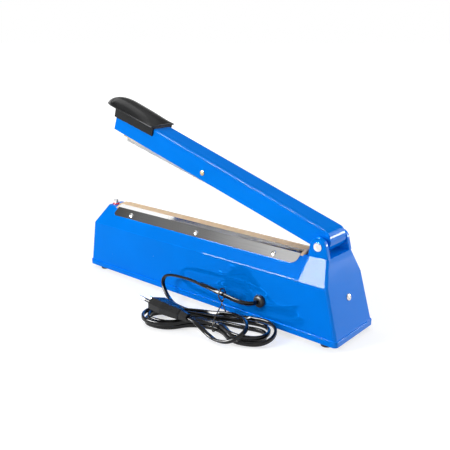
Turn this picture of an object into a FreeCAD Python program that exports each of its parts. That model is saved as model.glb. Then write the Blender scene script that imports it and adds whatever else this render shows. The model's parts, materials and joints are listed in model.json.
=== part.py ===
import FreeCAD, Part
import math
import os
import re
import Sketcher
from FreeCAD import Placement, Rotation, Vector

# Impulse heat sealer with a 300 mm sealing bed, drawn as it stands with the arm raised.
# +X points to the handle end, +Y to the side with the cord, +Z up.
# The origin is the middle of the base, on the surface under the feet. Millimetres and degrees.

sizes = [
    # base
    ("rimLength", 410, "length of the base"),
    ("rimWidth", 82, "width of the base"),
    ("rimHeight", 7, "height of the stepped rim"),
    ("rimStep", 1.5, "how far the rim stands out"),
    ("rimCorner", 5, "corner radius of the rim"),
    ("rimRound", 1, "rounding of the rim's top edge"),
    ("footGap", 6, "rim above the floor"),
    ("shoulderRise", 63.3, "rim underside to shoulder"),
    ("shoulderHalf", 37.5, "half width at the shoulder"),
    ("deckRise", 84.1, "rim underside to deck"),
    ("deckHalf", 12.2, "half width of the deck"),
    ("hingeLean", 15.3, "lean of the hinge end"),
    ("handleLean", 7.7, "lean of the handle end"),
    ("housingCorner", 3.5, "corner radius of the housing"),
    ("deckCorner", 3, "corner radius at the deck"),
    ("innerCorner", 1.2, "corner radius inside the housing"),
    ("shoulderBevel", 0.6, "bevel of the shoulder"),
    ("wall", 2.5, "wall of the housing"),
    ("postRise", 89.8, "rim underside to top of the hinge post"),
    ("postHalf", 24.9, "half width of the post's top"),
    ("postReach", 56, "hinge end of the rim to the front of the post at the shoulder"),
    ("postTop", 25.6, "length of the post's top"),
    ("postRoof", 4, "thickness of the post's top"),
    ("postCorner", 3, "corner radius of the post's top"),
    ("earWidth", 5.4, "thickness of an ear"),
    ("earRadius", 10.2, "outer radius of an ear"),
    ("earRound", 0.8, "rounding of an ear's edges"),
    ("hingeInset", 37.7, "hinge axis from the end of the rim"),
    ("hingeRise", 101.5, "hinge axis above the rim underside"),
    ("plateThick", 1.2, "bottom plate"),
    ("plateSunk", 1, "plate above the rim underside"),
    ("plateGap", 0.5, "plate to wall"),
    ("bossRadius", 4, "screw bosses"),
    ("bossRise", 18, "height of a boss above the plate"),
    ("bossAhead", 26, "outer bosses from the feet, towards the middle"),
    ("bossInset", 7.5, "bosses from the rim's side"),
    ("footRadius", 7.5, "foot at the plate"),
    ("footTaper", 1, "foot narrower at the floor by"),
    ("footInset", 19, "feet from the end of the rim"),
    ("footSide", 12.5, "feet from the side of the rim"),
    ("footBore", 3.6, "recess for the head of a foot screw"),
    ("footSeat", 3.5, "depth of that recess"),
    # fasteners
    ("screwRadius", 1.5, "shank of the small screws"),
    ("screwHead", 3.1, "head of a clamp screw"),
    ("screwHeadRise", 1.7, "height of that head"),
    ("baseHead", 3, "head of a base screw"),
    ("baseHeadRise", 1.9, "height of that head"),
    ("endShank", 2, "shank of the end screw"),
    ("endHead", 4, "head of the end screw"),
    ("endHeadRise", 2.4, "height of that head"),
    ("endScrewRise", 43.3, "end screw above the rim underside"),
    ("holeGap", 0.1, "hole round a shank"),
    ("runGap", 0.05, "running fit"),
    ("seatGap", 0.1, "flat seats on slanted walls"),
    ("moveGap", 0.3, "room round moving pieces"),
    # sealing bed
    ("bedPostGap", 6, "front of the post to the sealing bed"),
    ("bedRise", 3.7, "height of the bed"),
    ("bedTopHalf", 5.5, "half width of the bed's top"),
    ("ribbonWidth", 3, "heating ribbon"),
    ("ribbonThick", 0.2, "thickness of the ribbon"),
    ("ribbonDrop", 14, "turned down end of the ribbon"),
    ("slotGap", 0.6, "deck slot round the ribbon"),
    ("terminalLength", 8, "terminal block"),
    ("terminalWidth", 10, "width of a terminal block"),
    ("terminalGap", 1, "terminal block to the plunger's flange"),
    ("clothThick", 0.3, "cloth over the ribbon"),
    ("clothSkirt", 2.2, "cloth down the flank"),
    ("clothShift", 1, "cloth past the bed towards the handle"),
    ("clampThick", 0.8, "clamp plates"),
    ("clampShort", 4, "bed past a clamp plate"),
    ("clampShift", 0.5, "plates past the bed's middle towards the handle"),
    ("clampLeg", 14.6, "leg on the flank"),
    ("clampLip", 6.5, "leg on the bed"),
    ("clampCornerHinge", 8, "lower corner at the hinge end"),
    ("clampCornerHandle", 6, "lower corner at the handle end"),
    ("clampScrewInset", 32.7, "outer screws from the ends of a clamp plate"),
    ("clampScrewDrop", 8.3, "screws below the fold"),
    # transformer
    ("coreLength", 60, "transformer laminations"),
    ("coreRise", 50, "their height"),
    ("coreStack", 28, "their stack"),
    ("coreLimb", 10, "outer limb"),
    ("coreLeg", 20, "middle leg"),
    ("coreInset", 60, "middle of the core from the hinge end of the rim"),
    ("coilBuild", 9.4, "winding round the leg"),
    ("coilGap", 0.3, "winding to laminations"),
    ("strapThick", 1.5, "strap over the core"),
    ("strapWidth", 20, "width of the strap"),
    ("strapFoot", 12, "foot of the strap"),
    # front controls
    ("controlRise", 30, "knob axis above the rim underside"),
    ("knobInset", 110, "knob from the handle end of the rim"),
    ("lampAlong", 50, "lamp from the knob"),
    ("potRadius", 8.5, "potentiometer body"),
    ("potDepth", 10.5, "depth of that body"),
    ("bushRadius", 3.5, "threaded bush"),
    ("bushReach", 4, "bush outside the wall"),
    ("nutFlat", 10, "nut across flats"),
    ("nutThick", 2.2, "nut"),
    ("shaftRadius", 3, "knob shaft"),
    ("shaftReach", 11, "shaft outside the wall"),
    ("knobRadius", 15, "knob skirt"),
    ("knobGrip", 11.5, "grip of the knob"),
    ("knobRise", 13, "height of the knob"),
    ("knobSkirt", 3.4, "height of the skirt"),
    ("knobLift", 0.6, "knob above the wall"),
    ("knobFlute", 1.6, "radius of a flute"),
    ("boardThick", 1.6, "timer board"),
    ("boardLength", 92, "length of the board"),
    ("boardRise", 36, "height of the board"),
    ("boardPast", 12, "board past the lamp"),
    ("boardCorner", 2, "corner radius of the board"),
    ("relayAlong", 18, "relay from the knob axis"),
    ("relayLow", 12, "relay below the knob axis"),
    ("relayLength", 20, "relay"),
    ("relayWidth", 16, "width of the relay"),
    ("relayRise", 15, "height of the relay"),
    ("chipBack", 8, "chip behind the knob axis"),
    ("chipHigh", 4, "chip above the knob axis"),
    ("chipLength", 10, "chip"),
    ("chipWidth", 7, "width of the chip"),
    ("chipRise", 3.5, "height of the chip"),
    ("diodeBack", 24, "diode behind the knob axis"),
    ("diodeHigh", 8, "diode above the knob axis"),
    ("diodeLength", 9, "diode"),
    ("diodeWidth", 4, "width of the diode"),
    ("diodeRise", 3, "height of the diode"),
    ("tallCanBack", 16, "tall capacitor behind the knob axis"),
    ("tallCanLow", 6, "tall capacitor below the knob axis"),
    ("tallCanRadius", 5, "tall capacitor"),
    ("tallCanRise", 16, "height of the tall capacitor"),
    ("shortCanAlong", 6, "short capacitor from the knob axis"),
    ("shortCanLow", 10, "short capacitor below the knob axis"),
    ("shortCanRadius", 4, "short capacitor"),
    ("shortCanRise", 11, "height of the short capacitor"),
    ("lensRadius", 4.6, "head of the lens"),
    ("lensRise", 3.4, "height of that head"),
    ("lensStem", 3.6, "stem of the lens"),
    ("lensDepth", 6, "stem inside the wall face"),
    # switch
    ("plungerInset", 18.5, "plunger from the end of the rim"),
    ("plungerSide", 3, "plunger from the centre line"),
    ("plungerRadius", 3.25, "plunger pin"),
    ("plungerReach", 6.9, "plunger above the deck"),
    ("plungerDepth", 14.1, "plunger below the deck"),
    ("plungerTravel", 2.5, "travel of the plunger"),
    ("collarRadius", 4.75, "red collar"),
    ("collarRise", 2, "collar above the deck"),
    ("collarStem", 4, "stem of the collar"),
    ("flangeOver", 0.3, "plunger's flange past that stem"),
    ("switchLength", 20, "switch body"),
    ("switchWidth", 6.4, "width of the switch body"),
    ("switchRise", 10.3, "height of the switch body"),
    ("switchDrop", 19.8, "deck to the switch body"),
    ("leverRadius", 0.8, "lever pivot"),
    ("leverThick", 0.4, "lever"),
    ("leverWidth", 4, "width of the lever"),
    ("leverTilt", 13, "lever at rest"),
    ("leverBack", 16.5, "lever pivot from the plunger"),
    ("ribThick", 2.5, "rib that carries the switch"),
    # hinge
    ("pinRadius", 3, "hinge pin"),
    ("pinHead", 5, "head of the pin"),
    ("pinHeadRise", 1.2, "height of that head"),
    ("clipRadius", 5, "clip on the pin"),
    ("clipThick", 1, "thickness of the clip"),
    ("pinTail", 2.4, "pin past the front ear"),
    ("spacerRadius", 5, "spacer bushes"),
    ("springWire", 1.6, "wire of the return spring"),
    ("springRadius", 4.6, "mean radius of the spring"),
    ("springPitch", 2.2, "pitch of the spring"),
    ("springTurns", 6, "turns of the spring"),
    ("springLegAngle", 30, "rise of the leg under the arm"),
    ("springFootAngle", 60, "fall of the leg on the post, from the arm's length"),
    # arm, along and square to its own length from the hinge axis
    ("openAngle", 16.8, "arm raised"),
    ("armFloor", 6.2, "hinge axis to the arm's lower edge"),
    ("armTopTail", 17.5, "hinge axis to the arm's top at the hinge"),
    ("armTopFront", 23.2, "hinge axis to the arm's top at the front"),
    ("armFootHalf", 16.5, "half width at the lower edge"),
    ("armTopHalf", 15, "half width at the top"),
    ("armWall", 2, "wall of the arm"),
    ("armEdge", 2, "rounding of the arm's top"),
    ("armFront", 6.8, "plunger to the arm's front"),
    ("tailRadius", 14, "rounding of the arm's tail"),
    ("tailAhead", 5, "centre of that rounding ahead of the hinge"),
    ("tailFoot", 6, "lower corner of the tail behind the hinge"),
    ("tailLip", 1, "rounding of that corner"),
    ("barPinRise", 2.8, "rivet above the hinge axis"),
    ("barPinRadius", 2.5, "rivet"),
    ("barPinHead", 3.3, "head of the rivet"),
    ("barPinHeadRise", 1.2, "height of that head"),
    ("rockAngle", 2.17, "pressure bar hangs down at the handle end"),
    # pressure bar
    ("padShort", 8, "bed past the pad"),
    ("padWidth", 10, "width of the pad"),
    ("padThick", 5, "thickness of the pad"),
    ("padClear", 0.3, "pad above the cloth when closed"),
    ("barWidth", 12, "pressure bar"),
    ("barThick", 1, "sheet of the bar"),
    ("barRise", 8, "height of the bar"),
    ("barOver", 6, "bar past the pad"),
    ("barEarHalf", 8, "half length of the bar's pivot ears"),
    ("barEarRadius", 4.2, "top of a pivot ear"),
    ("strikerThick", 1.2, "striker"),
    ("strikerWidth", 10, "width of the striker"),
    ("strikerTop", 12, "top of the striker above the hinge axis"),
    ("strikerNose", 4.2, "striker past the plunger"),
    ("strikerScrew", 5, "striker screw above the hinge axis"),
    # grip
    ("gripLength", 71.5, "skirt of the grip"),
    ("gripHalf", 20.2, "half width of the grip"),
    ("gripWall", 2.5, "front wall of the grip"),
    ("gripSide", 17.2, "half width of the skirt"),
    ("gripCrown", 9.5, "crown of the grip at the arm's front"),
    ("gripRearCrown", 1.8, "crown of its rear edge"),
    ("gripEdge", 1.8, "edge of the grip"),
    ("gripLift", 2, "edge above the arm's top at the front"),
    ("gripRearLift", 3.8, "edge above the arm's top at the rear"),
    ("gripNose", 34.5, "tip past the arm's front"),
    ("gripSkirtFront", 10.8, "skirt's lower edge at the front"),
    ("gripSkirtRear", 12.5, "skirt's lower edge at the rear"),
    ("gripGap", 0.15, "grip round the arm"),
    # cord
    ("cordWidth", 5, "cord"),
    ("glandAlong", -102, "cord exit from the middle of the base"),
    ("glandRise", 26, "cord exit above the rim underside"),
    ("glandRadius", 7.4, "flange of the strain relief"),
    ("glandReach", 5, "strain relief outside the wall"),
    ("glandStem", 5.4, "stem through the wall"),
    ("hankHalf", 56.5, "waist of the hank to the end arcs"),
    ("hankRadius", 22, "outermost end arc"),
    ("hankStep", 3.5, "radius lost at each half turn"),
    ("hankWaist", 12.5, "half width of the waist"),
    ("hankWaistStep", 9, "inner runs further in at the waist"),
    ("hankBow", 14, "waist bowed towards the base"),
    ("foldRadius", 22.5, "last bend of the lead, round the hank"),
    ("foldBack", 3, "that bend past the end arcs"),
    ("foldRun", 9, "lead past that bend"),
    ("hankTurn", 18.6, "direction of the hank"),
    ("hankLow", 3.9, "first layer above the floor"),
    ("hankLayer", 5.6, "second layer above the first"),
    ("tieRadius", 0.6, "tie wire"),
    ("plugLength", 36, "plug body"),
    ("plugNeck", 10, "relief block of the plug"),
    ("plugWidth", 35, "width of the plug's face"),
    ("plugThick", 14, "thickness of the plug's face"),
    ("plugRearWidth", 15, "width of the plug's rear"),
    ("plugRearThick", 11, "thickness of the plug's rear"),
    ("plugPinPitch", 18.6, "plug pins"),
    ("plugPinRadius", 2, "radius of a plug pin"),
    ("plugPinLength", 19, "length of a plug pin"),
    ("plugSleeve", 10, "insulated part of a pin"),
]

# Heights and places that follow from the sizes above.
derived = {
    "rimHalf": "rimLength / 2",
    "zRimTop": "footGap + rimHeight",
    "zShoulder": "footGap + shoulderRise",
    "zDeck": "footGap + deckRise",
    "zPost": "footGap + postRise",
    "zPlate": "footGap + plateSunk",
    "zFloorIn": "footGap + plateSunk + plateThick",
    "footHalf": "rimWidth / 2 - rimStep",
    "endFoot": "rimLength / 2 - rimStep",
    "hingeX": "hingeInset - rimLength / 2",
    "hingeZ": "footGap + hingeRise",
    "plungerX": "rimLength / 2 - plungerInset",
    "flangeRadius": "collarStem + flangeOver",
    "bedStart": "postReach - rimHalf + bedPostGap",
    "bedEnd": "plungerX - flangeRadius - terminalGap - terminalLength - ribbonThick",
    "bedLength": "bedEnd - bedStart",
    "bedCentre": "(bedStart + bedEnd) / 2",
    "clampLength": "bedLength - 2 * clampShort",
    "clampCentre": "bedCentre + clampShift",
    "clampPitch": "clampLength / 2 - clampScrewInset",
    "padLength": "bedLength - 2 * padShort",
    "knobAlong": "rimHalf - knobInset",
    "leverX": "plungerX - leverBack",
    "zBed": "zDeck + bedRise",
    "armLength": "plungerX - hingeX - armFront",
    "armSlope": "(armTopFront - armTopTail) / armLength",
    "armDraft": "(armFootHalf - armTopHalf) / (armFloor + armTopFront)",
    "padFoot": "hingeZ - zBed - clothThick - padClear",
    "padTop": "padFoot - padThick",
    "barPinX": "bedCentre - hingeX",
    "coreX": "coreInset - rimLength / 2",
    "bossY": "rimWidth / 2 - bossInset",
    "footX": "rimLength / 2 - footInset",
    "bossSpread": "footX - bossAhead",
    "footY": "rimWidth / 2 - footSide",
}

doc = FreeCAD.newDocument("HeatSealer")
sheet = doc.addObject("Spreadsheet::Sheet", "Sizes")
for row, (alias, number, words) in enumerate(sizes, 1):
    sheet.set(f"A{row}", words)
    sheet.set(f"B{row}", str(number))
    sheet.setAlias(f"B{row}", alias)
doc.recompute()

aliases = {alias for alias, number, words in sizes}
word = re.compile(r"[A-Za-z]\w*")
nodes = []


def spell(text):
    longer = word.sub(lambda found: f"({derived[found[0]]})" if found[0] in derived else found[0], str(text))
    return longer if longer == str(text) else spell(longer)


def size(text):
    return float(sheet.evalExpression(spell(text)))


def tied(text):
    return word.sub(lambda found: "Sizes." + found[0] if found[0] in aliases else found[0], spell(text))


def bind(thing, **cells):
    for name, text in cells.items():
        thing.setExpression(name.replace("_", "."), tied(text))
    return thing


def put(thing, x=0, y=0, z=0, turn=Rotation()):
    thing.Placement = Placement(Vector(), turn)
    return bind(thing, Placement_Base_x=x, Placement_Base_y=y, Placement_Base_z=z)


def keep(label, thing, frame=None):
    thing.Label = label
    if frame:
        thing.Placement = frame
    nodes.append(thing)
    return thing


# Sketches: corners, circles and rounded rectangles whose sizes are bound to the sheet.

planeTurns = {
    "XY_Plane": Rotation(),
    "XZ_Plane": Rotation(Vector(1, 0, 0), 90),
    "YZ_Plane": Rotation(Vector(1, 1, 1), 120),
}


def drawing(plane, start=0, body=None):
    if body is None:
        sketch = doc.addObject("Sketcher::SketchObject", "Profile")
        turn = planeTurns[plane]
        sketch.Placement = Placement(turn.multVec(Vector(0, 0, size(start))), turn)
        return sketch
    sketch = body.newObject("Sketcher::SketchObject", "Profile")
    sketch.AttachmentSupport = [(next(face for face in body.Origin.OriginFeatures if face.Role == plane), "")]
    sketch.MapMode = "FlatFace"
    return bind(sketch, AttachmentOffset_Base_z=start)


def pin(sketch, kind, edge, spot, text):
    number = sketch.addConstraint(Sketcher.Constraint(kind, -1, 1, edge, spot, size(text)))
    sketch.setExpression(f"Constraints[{number}]", tied(text))


def corners(sketch, places):
    points = [Vector(size(x), size(y), 0) for x, y in places]
    first = sketch.GeometryCount
    count = len(points)
    for step in range(count):
        sketch.addGeometry(Part.LineSegment(points[step], points[(step + 1) % count]))
    for step in range(count):
        sketch.addConstraint(Sketcher.Constraint("Coincident", first + step, 2, first + (step + 1) % count, 1))
    for step, (x, y) in enumerate(places):
        pin(sketch, "DistanceX", first + step, 1, x)
        pin(sketch, "DistanceY", first + step, 1, y)
    return sketch


def disc(sketch, x, y, radius):
    edge = sketch.addGeometry(Part.Circle(Vector(size(x), size(y), 0), Vector(0, 0, 1), size(radius)))
    number = sketch.addConstraint(Sketcher.Constraint("Radius", edge, size(radius)))
    sketch.setExpression(f"Constraints[{number}]", tied(radius))
    pin(sketch, "DistanceX", edge, 3, x)
    pin(sketch, "DistanceY", edge, 3, y)
    return sketch


def roundedBox(sketch, left, right, front, back, radius):
    x0, x1, y0, y1, r = (size(text) for text in (left, right, front, back, radius))
    spots = [(x1 - r, y0 + r, -90), (x1 - r, y1 - r, 0), (x0 + r, y1 - r, 90), (x0 + r, y0 + r, 180)]
    arcs = []
    for x, y, angle in spots:
        circle = Part.Circle(Vector(x, y, 0), Vector(0, 0, 1), r)
        arc = Part.ArcOfCircle(circle, math.radians(angle), math.radians(angle + 90))
        arcs.append(sketch.addGeometry(arc))
    lines = []
    for step in range(4):
        begin = sketch.getPoint(arcs[step], 2)
        end = sketch.getPoint(arcs[(step + 1) % 4], 1)
        lines.append(sketch.addGeometry(Part.LineSegment(begin, end)))
    for step in range(4):
        sketch.addConstraint(Sketcher.Constraint("Tangent", arcs[step], 2, lines[step], 1))
        sketch.addConstraint(Sketcher.Constraint("Tangent", lines[step], 2, arcs[(step + 1) % 4], 1))
    for step in range(1, 4):
        sketch.addConstraint(Sketcher.Constraint("Equal", arcs[0], arcs[step]))
    number = sketch.addConstraint(Sketcher.Constraint("Radius", arcs[0], r))
    sketch.setExpression(f"Constraints[{number}]", tied(radius))
    pin(sketch, "DistanceX", arcs[0], 3, f"({right}) - ({radius})")
    pin(sketch, "DistanceY", arcs[0], 3, f"({front}) + ({radius})")
    pin(sketch, "DistanceX", arcs[2], 3, f"({left}) + ({radius})")
    pin(sketch, "DistanceY", arcs[2], 3, f"({back}) - ({radius})")
    sketch.addConstraint(Sketcher.Constraint("Vertical", lines[0]))
    sketch.addConstraint(Sketcher.Constraint("Horizontal", lines[1]))
    return sketch


# Solids: pads, turned pieces, extrusions, lofts and booleans.


def padded(plane, start, length, draw, both=False):
    body = doc.addObject("PartDesign::Body", "Piece")
    sketch = drawing(plane, start, body)
    draw(sketch)
    pad = body.newObject("PartDesign::Pad", "Pad")
    pad.Profile = sketch
    bind(pad, Length=length)
    if both:
        pad.SideType = "Symmetric"
    sketch.Visibility = False
    return body


def turned(profile):
    body = doc.addObject("PartDesign::Body", "Piece")
    sketch = corners(drawing("XZ_Plane", 0, body), profile)
    spin = body.newObject("PartDesign::Revolution", "Revolution")
    spin.Profile = sketch
    spin.ReferenceAxis = (sketch, ["V_Axis"])
    spin.Angle = 360
    return body


def extruded(plane, start, length, draw):
    solid = doc.addObject("Part::Extrusion", "Extrusion")
    solid.Base = draw(drawing(plane, start))
    solid.DirMode = "Normal"
    solid.Solid = True
    return bind(solid, LengthFwd=length)


def lofted(*sections):
    solid = doc.addObject("Part::Loft", "Loft")
    solid.Sections = list(sections)
    solid.Solid = True
    solid.Ruled = True
    return solid


def box(x, y, z, length, width, height):
    return put(bind(doc.addObject("Part::Box", "Box"), Length=length, Width=width, Height=height), x, y, z)


towards = {"x": Rotation(Vector(0, 1, 0), 90), "y": Rotation(Vector(1, 0, 0), -90), "z": Rotation()}


def rod(radius, length, x=0, y=0, z=0, along="z"):
    return put(bind(doc.addObject("Part::Cylinder", "Rod"), Radius=radius, Height=length), x, y, z,
               towards[along])


def plus(*shapes):
    whole = doc.addObject("Part::MultiFuse", "Union")
    whole.Shapes = list(shapes)
    whole.Refine = True
    return whole


def minus(base, *tools):
    rest = doc.addObject("Part::Cut", "Cut")
    rest.Base = base
    rest.Tool = tools[0] if len(tools) == 1 else plus(*tools)
    return rest


def shared(first, second):
    both = doc.addObject("Part::Common", "Common")
    both.Base = first
    both.Tool = second
    return both


def together(shapes):
    group = doc.addObject("Part::Compound", "Group")
    group.Links = list(shapes)
    return group


def mirrored(shape):
    other = doc.addObject("Part::Mirroring", "Mirrored")
    other.Source = shape
    other.Base = Vector()
    other.Normal = Vector(0, 1, 0)
    return other


def rounded(base, *picks):
    doc.recompute()
    edges = base.Shape.Edges
    chosen = []
    for spot, radius in picks:
        nearest = min(range(len(edges)), key=lambda n: edges[n].distToShape(Part.Vertex(spot))[0])
        chosen.append((nearest + 1, size(radius), size(radius)))
    solid = doc.addObject("Part::Fillet", "Fillet")
    solid.Base = base
    solid.Edges = chosen
    return solid


def copies(profile, frames):
    sketch = corners(drawing("XZ_Plane"), profile)
    made = []
    for frame in frames:
        spin = doc.addObject("Part::Revolution", "Turned")
        spin.Source = sketch
        spin.Axis = Vector(0, 0, 1)
        spin.Angle = 360
        spin.Solid = True
        spin.Placement = frame
        made.append(spin)
    return made


def screwProfile(head, rise, shank, length):
    return [
        (0, f"-({length})"), (shank, f"-({length})"), (shank, 0), (head, 0),
        (head, f"0.45 * {rise}"), (f"0.72 * {head}", f"0.85 * {rise}"), (f"0.3 * {head}", rise), (0, rise),
    ]


def bent(points, thick):
    # outline of a bent sheet whose outer face follows the points and whose sheet lies to their right
    path = [Vector(x, y, 0) for x, y in points]
    inner = []
    for step, spot in enumerate(path):
        before = (spot - path[step - 1]).normalize() if step else None
        after = (path[step + 1] - spot).normalize() if step + 1 < len(path) else None
        sides = [Vector(way.y, -way.x, 0) for way in (before, after) if way is not None]
        across = sum(sides[1:], sides[0]).normalize()
        inner.append(spot + across * (thick / across.dot(sides[0])))
    return [(round(spot.x, 6), round(spot.y, 6)) for spot in path + inner[::-1]]


def at(x, y, z):
    return Vector(size(x), size(y), size(z))


# Frames in which slanted pieces are drawn.

flankTilt = math.degrees(math.atan2(size("footHalf - shoulderHalf"), size("shoulderRise - rimHeight")))
flankFall = math.degrees(math.atan2(size("deckRise - shoulderRise"), size("shoulderHalf - deckHalf")))
bedFall = math.degrees(math.atan2(size("bedRise"), size("deckHalf - bedTopHalf")))


def flankHalf(rise):
    return f"footHalf - ({rise} - rimHeight) * (footHalf - shoulderHalf) / (shoulderRise - rimHeight)"


def frontFrame(along, rise):
    spot = at(along, f"-({flankHalf(rise)})", f"footGap + {rise}")
    return Placement(spot, Rotation(Vector(1, 0, 0), 90 - flankTilt))


def rearFrame(along, rise):
    spot = at(along, flankHalf(rise), f"footGap + {rise}")
    return Placement(spot, Rotation(Vector(1, 0, 0), flankTilt - 90))


def upperFrame(along, down, side):
    way = math.radians(flankFall)
    spot = at(along, "deckHalf", "zDeck") + Vector(0, math.cos(way), -math.sin(way)) * size(down)
    return Placement(Vector(spot.x, side * spot.y, spot.z), Rotation(Vector(1, 0, 0), -side * flankFall))


armFrame = Placement(at("hingeX", 0, "hingeZ"), Rotation(Vector(0, 1, 0), -size("openAngle")))
rock = Placement(Vector(), Rotation(Vector(0, 1, 0), size("rockAngle")), at("barPinX", 0, "barPinRise"))
barFrame = armFrame.multiply(rock)

# Base housing: rim, lower loft, upper loft and hinge post, hollow and open below.


def hingeEnd(rise, inset=0):
    return f"-endFoot + ({rise} - rimHeight) * tan(hingeLean) + ({inset}) / cos(hingeLean)"


def handleEnd(rise, inset=0):
    return f"endFoot - ({rise} - rimHeight) * tan(handleLean) - ({inset}) / cos(handleLean)"


def level(rise, left, right, half, radius):
    return roundedBox(drawing("XY_Plane", f"footGap + {rise}"), left, right, f"-({half})", half, radius)


inShoulder = "(shoulderRise - wall / 2)"
inDeck = "(deckRise - wall)"
inPost = "(postRise - postRoof)"
postEnd = f"({hingeEnd('postRise')} + postTop)"
lowRise = "(shoulderRise - shoulderBevel)"
highRise = "(shoulderRise + shoulderBevel * (deckRise - shoulderRise) / (shoulderHalf - deckHalf))"

foot = level("rimHeight", hingeEnd("rimHeight"), handleEnd("rimHeight"), "footHalf", "housingCorner")
shoulderLow = level(lowRise, hingeEnd(lowRise), handleEnd(lowRise), flankHalf(lowRise), "housingCorner")
shoulderHigh = level(highRise, hingeEnd(highRise), handleEnd(highRise), "shoulderHalf - shoulderBevel",
                     "housingCorner")
deck = level("deckRise", hingeEnd("deckRise"), handleEnd("deckRise"), "deckHalf", "deckCorner")
postFoot = level(lowRise, hingeEnd(lowRise), "postReach - rimHalf", flankHalf(lowRise), "housingCorner")
postHead = level("postRise", hingeEnd("postRise"), postEnd, "postHalf", "postCorner")
rim = extruded("XY_Plane", "footGap", "rimHeight", lambda sketch: roundedBox(
    sketch, "-rimHalf", "rimHalf", "-rimWidth / 2", "rimWidth / 2", "rimCorner"))
rimRounded = rounded(rim, (at(0, "rimWidth / 2", "zRimTop"), "rimRound"))
outside = plus(rimRounded, lofted(foot, shoulderLow), lofted(shoulderLow, shoulderHigh),
               lofted(shoulderHigh, deck),
               lofted(postFoot, postHead))

inFoot = level("rimHeight", hingeEnd("rimHeight", "wall"), handleEnd("rimHeight", "wall"), "footHalf - wall",
               "innerCorner")
inBelt = level(inShoulder, hingeEnd(inShoulder, "wall"), handleEnd(inShoulder, "wall"), "shoulderHalf - wall",
               "innerCorner")
inTop = level(inDeck, hingeEnd(inDeck, "wall"), handleEnd(inDeck, "wall"), "deckHalf - 0.36 * wall",
              "innerCorner")
inPostFoot = level(inShoulder, hingeEnd(inShoulder, "wall"), "postReach - rimHalf - wall",
                   "shoulderHalf - wall", "innerCorner")
inPostHead = level(inPost, hingeEnd(inPost, "wall"), f"{postEnd} - wall", "postHalf - wall / 4",
                   "innerCorner")
opening = extruded("XY_Plane", "footGap - 1", "rimHeight + 1", lambda sketch: roundedBox(
    sketch, hingeEnd("rimHeight", "wall"), handleEnd("rimHeight", "wall"), "wall - footHalf",
    "footHalf - wall", "innerCorner"))
hollow = plus(opening, lofted(inFoot, inBelt), lofted(inBelt, inTop), lofted(inPostFoot, inPostHead))


def ear(sketch):
    # two straight edges tangent to the round top
    centre = Vector(size("hingeX"), size("hingeZ"), 0)
    ends = [Vector(size(hingeEnd("postRise")), size("zPost"), 0), Vector(size(postEnd), size("zPost"), 0)]
    touch = []
    for spot, side in zip(ends, (1, -1)):
        away = spot - centre
        turn = math.acos(size("earRadius") / away.Length)
        angle = math.atan2(away.y, away.x) - side * turn
        touch.append(centre + Vector(math.cos(angle), math.sin(angle), 0) * size("earRadius"))
    sketch.addGeometry(Part.LineSegment(ends[0], ends[1]))
    sketch.addGeometry(Part.LineSegment(ends[1], touch[1]))
    sketch.addGeometry(Part.Arc(touch[1], centre + Vector(0, size("earRadius"), 0), touch[0]))
    sketch.addGeometry(Part.LineSegment(touch[0], ends[0]))
    return sketch


def earAt(start):
    plain = extruded("XZ_Plane", start, "earWidth", ear)
    top = [at("hingeX", f"-({start}) - {depth}", "hingeZ + earRadius") for depth in (0, "earWidth")]
    return rounded(plain, *[(spot, "earRound") for spot in top])


earRear = earAt("-postHalf")
earFront = earAt("postHalf - earWidth")
bosses = [
    rod("bossRadius", "bossRise", f"{along} * bossSpread", f"{side} * bossY", "zFloorIn")
    for along in (-1, 0, 1) for side in (-1, 1)
]
ribRelief = rod("collarStem + 1.5", 12, "plungerX", "plungerSide", "zDeck - wall - 12")
switchRib = box("plungerX - switchLength - 1.5", "plungerSide + switchWidth / 2 + 0.3", "zDeck - 35", 40,
                "ribThick", 34)
walls = plus(minus(outside, hollow), earRear, earFront, minus(shared(switchRib, outside), ribRelief),
             *[shared(boss, outside) for boss in bosses])

pilots = [
    rod("screwRadius + holeGap", "bossRise - 2", f"{along} * bossSpread", f"{side} * bossY", "zFloorIn - 1")
    for along in (-1, 0, 1) for side in (-1, 1)
]
pinBore = rod("pinRadius + holeGap", "2 * postHalf + 2", "hingeX", "-postHalf - 1", "hingeZ", "y")
plungerBore = rod("collarStem + holeGap", 20, "plungerX", "plungerSide", "zDeck - 10")
clampAlong = [f"clampCentre + ({step}) * clampPitch" for step in (-1, 0, 1)]
clampFrames = [upperFrame(along, "clampScrewDrop", side) for side in (1, -1) for along in clampAlong]
endFrame = Placement(at(hingeEnd("endScrewRise"), 0, "footGap + endScrewRise"),
                     Rotation(Vector(0, 1, 0), size("hingeLean") - 90))
knobFrame = frontFrame("knobAlong", "controlRise")
lensFrame = frontFrame("knobAlong + lampAlong", "controlRise")
glandFrame = rearFrame("glandAlong", "glandRise")


def bore(radius, depth, frame):
    hole = bind(doc.addObject("Part::Cylinder", "Bore"), Radius=radius, Height=f"2 * ({depth})")
    hole.Placement = frame.multiply(Placement(Vector(0, 0, -size(depth)), Rotation()))
    return hole


slots = [
    box(f"{end} - slotGap - ribbonThick * {step}", "-ribbonWidth / 2 - slotGap", "zDeck - 10",
        "2 * slotGap + ribbonThick", "ribbonWidth + 2 * slotGap", 20)
    for end, step in (("bedStart", 1), ("bedEnd", 0))
]
switchBores = [
    rod("1 + holeGap", 20, f"plungerX - {along}", "plungerSide - 4", "zDeck - switchDrop - 5.2", "y")
    for along in (13.2, 3.7)
]
housing = minus(
    walls, *pilots, pinBore, plungerBore, *slots, *switchBores,
    *[bore("screwRadius + holeGap", "8", frame) for frame in clampFrames],
    bore("endShank + holeGap", "8", endFrame), bore("bushRadius + holeGap", "8", knobFrame),
    bore("lensStem + holeGap", "8", lensFrame), bore("glandStem + holeGap", "8", glandFrame),
)
keep("base_housing", housing)

# Bottom plate with the tab that takes the end screw, its screws and the feet.

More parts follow.
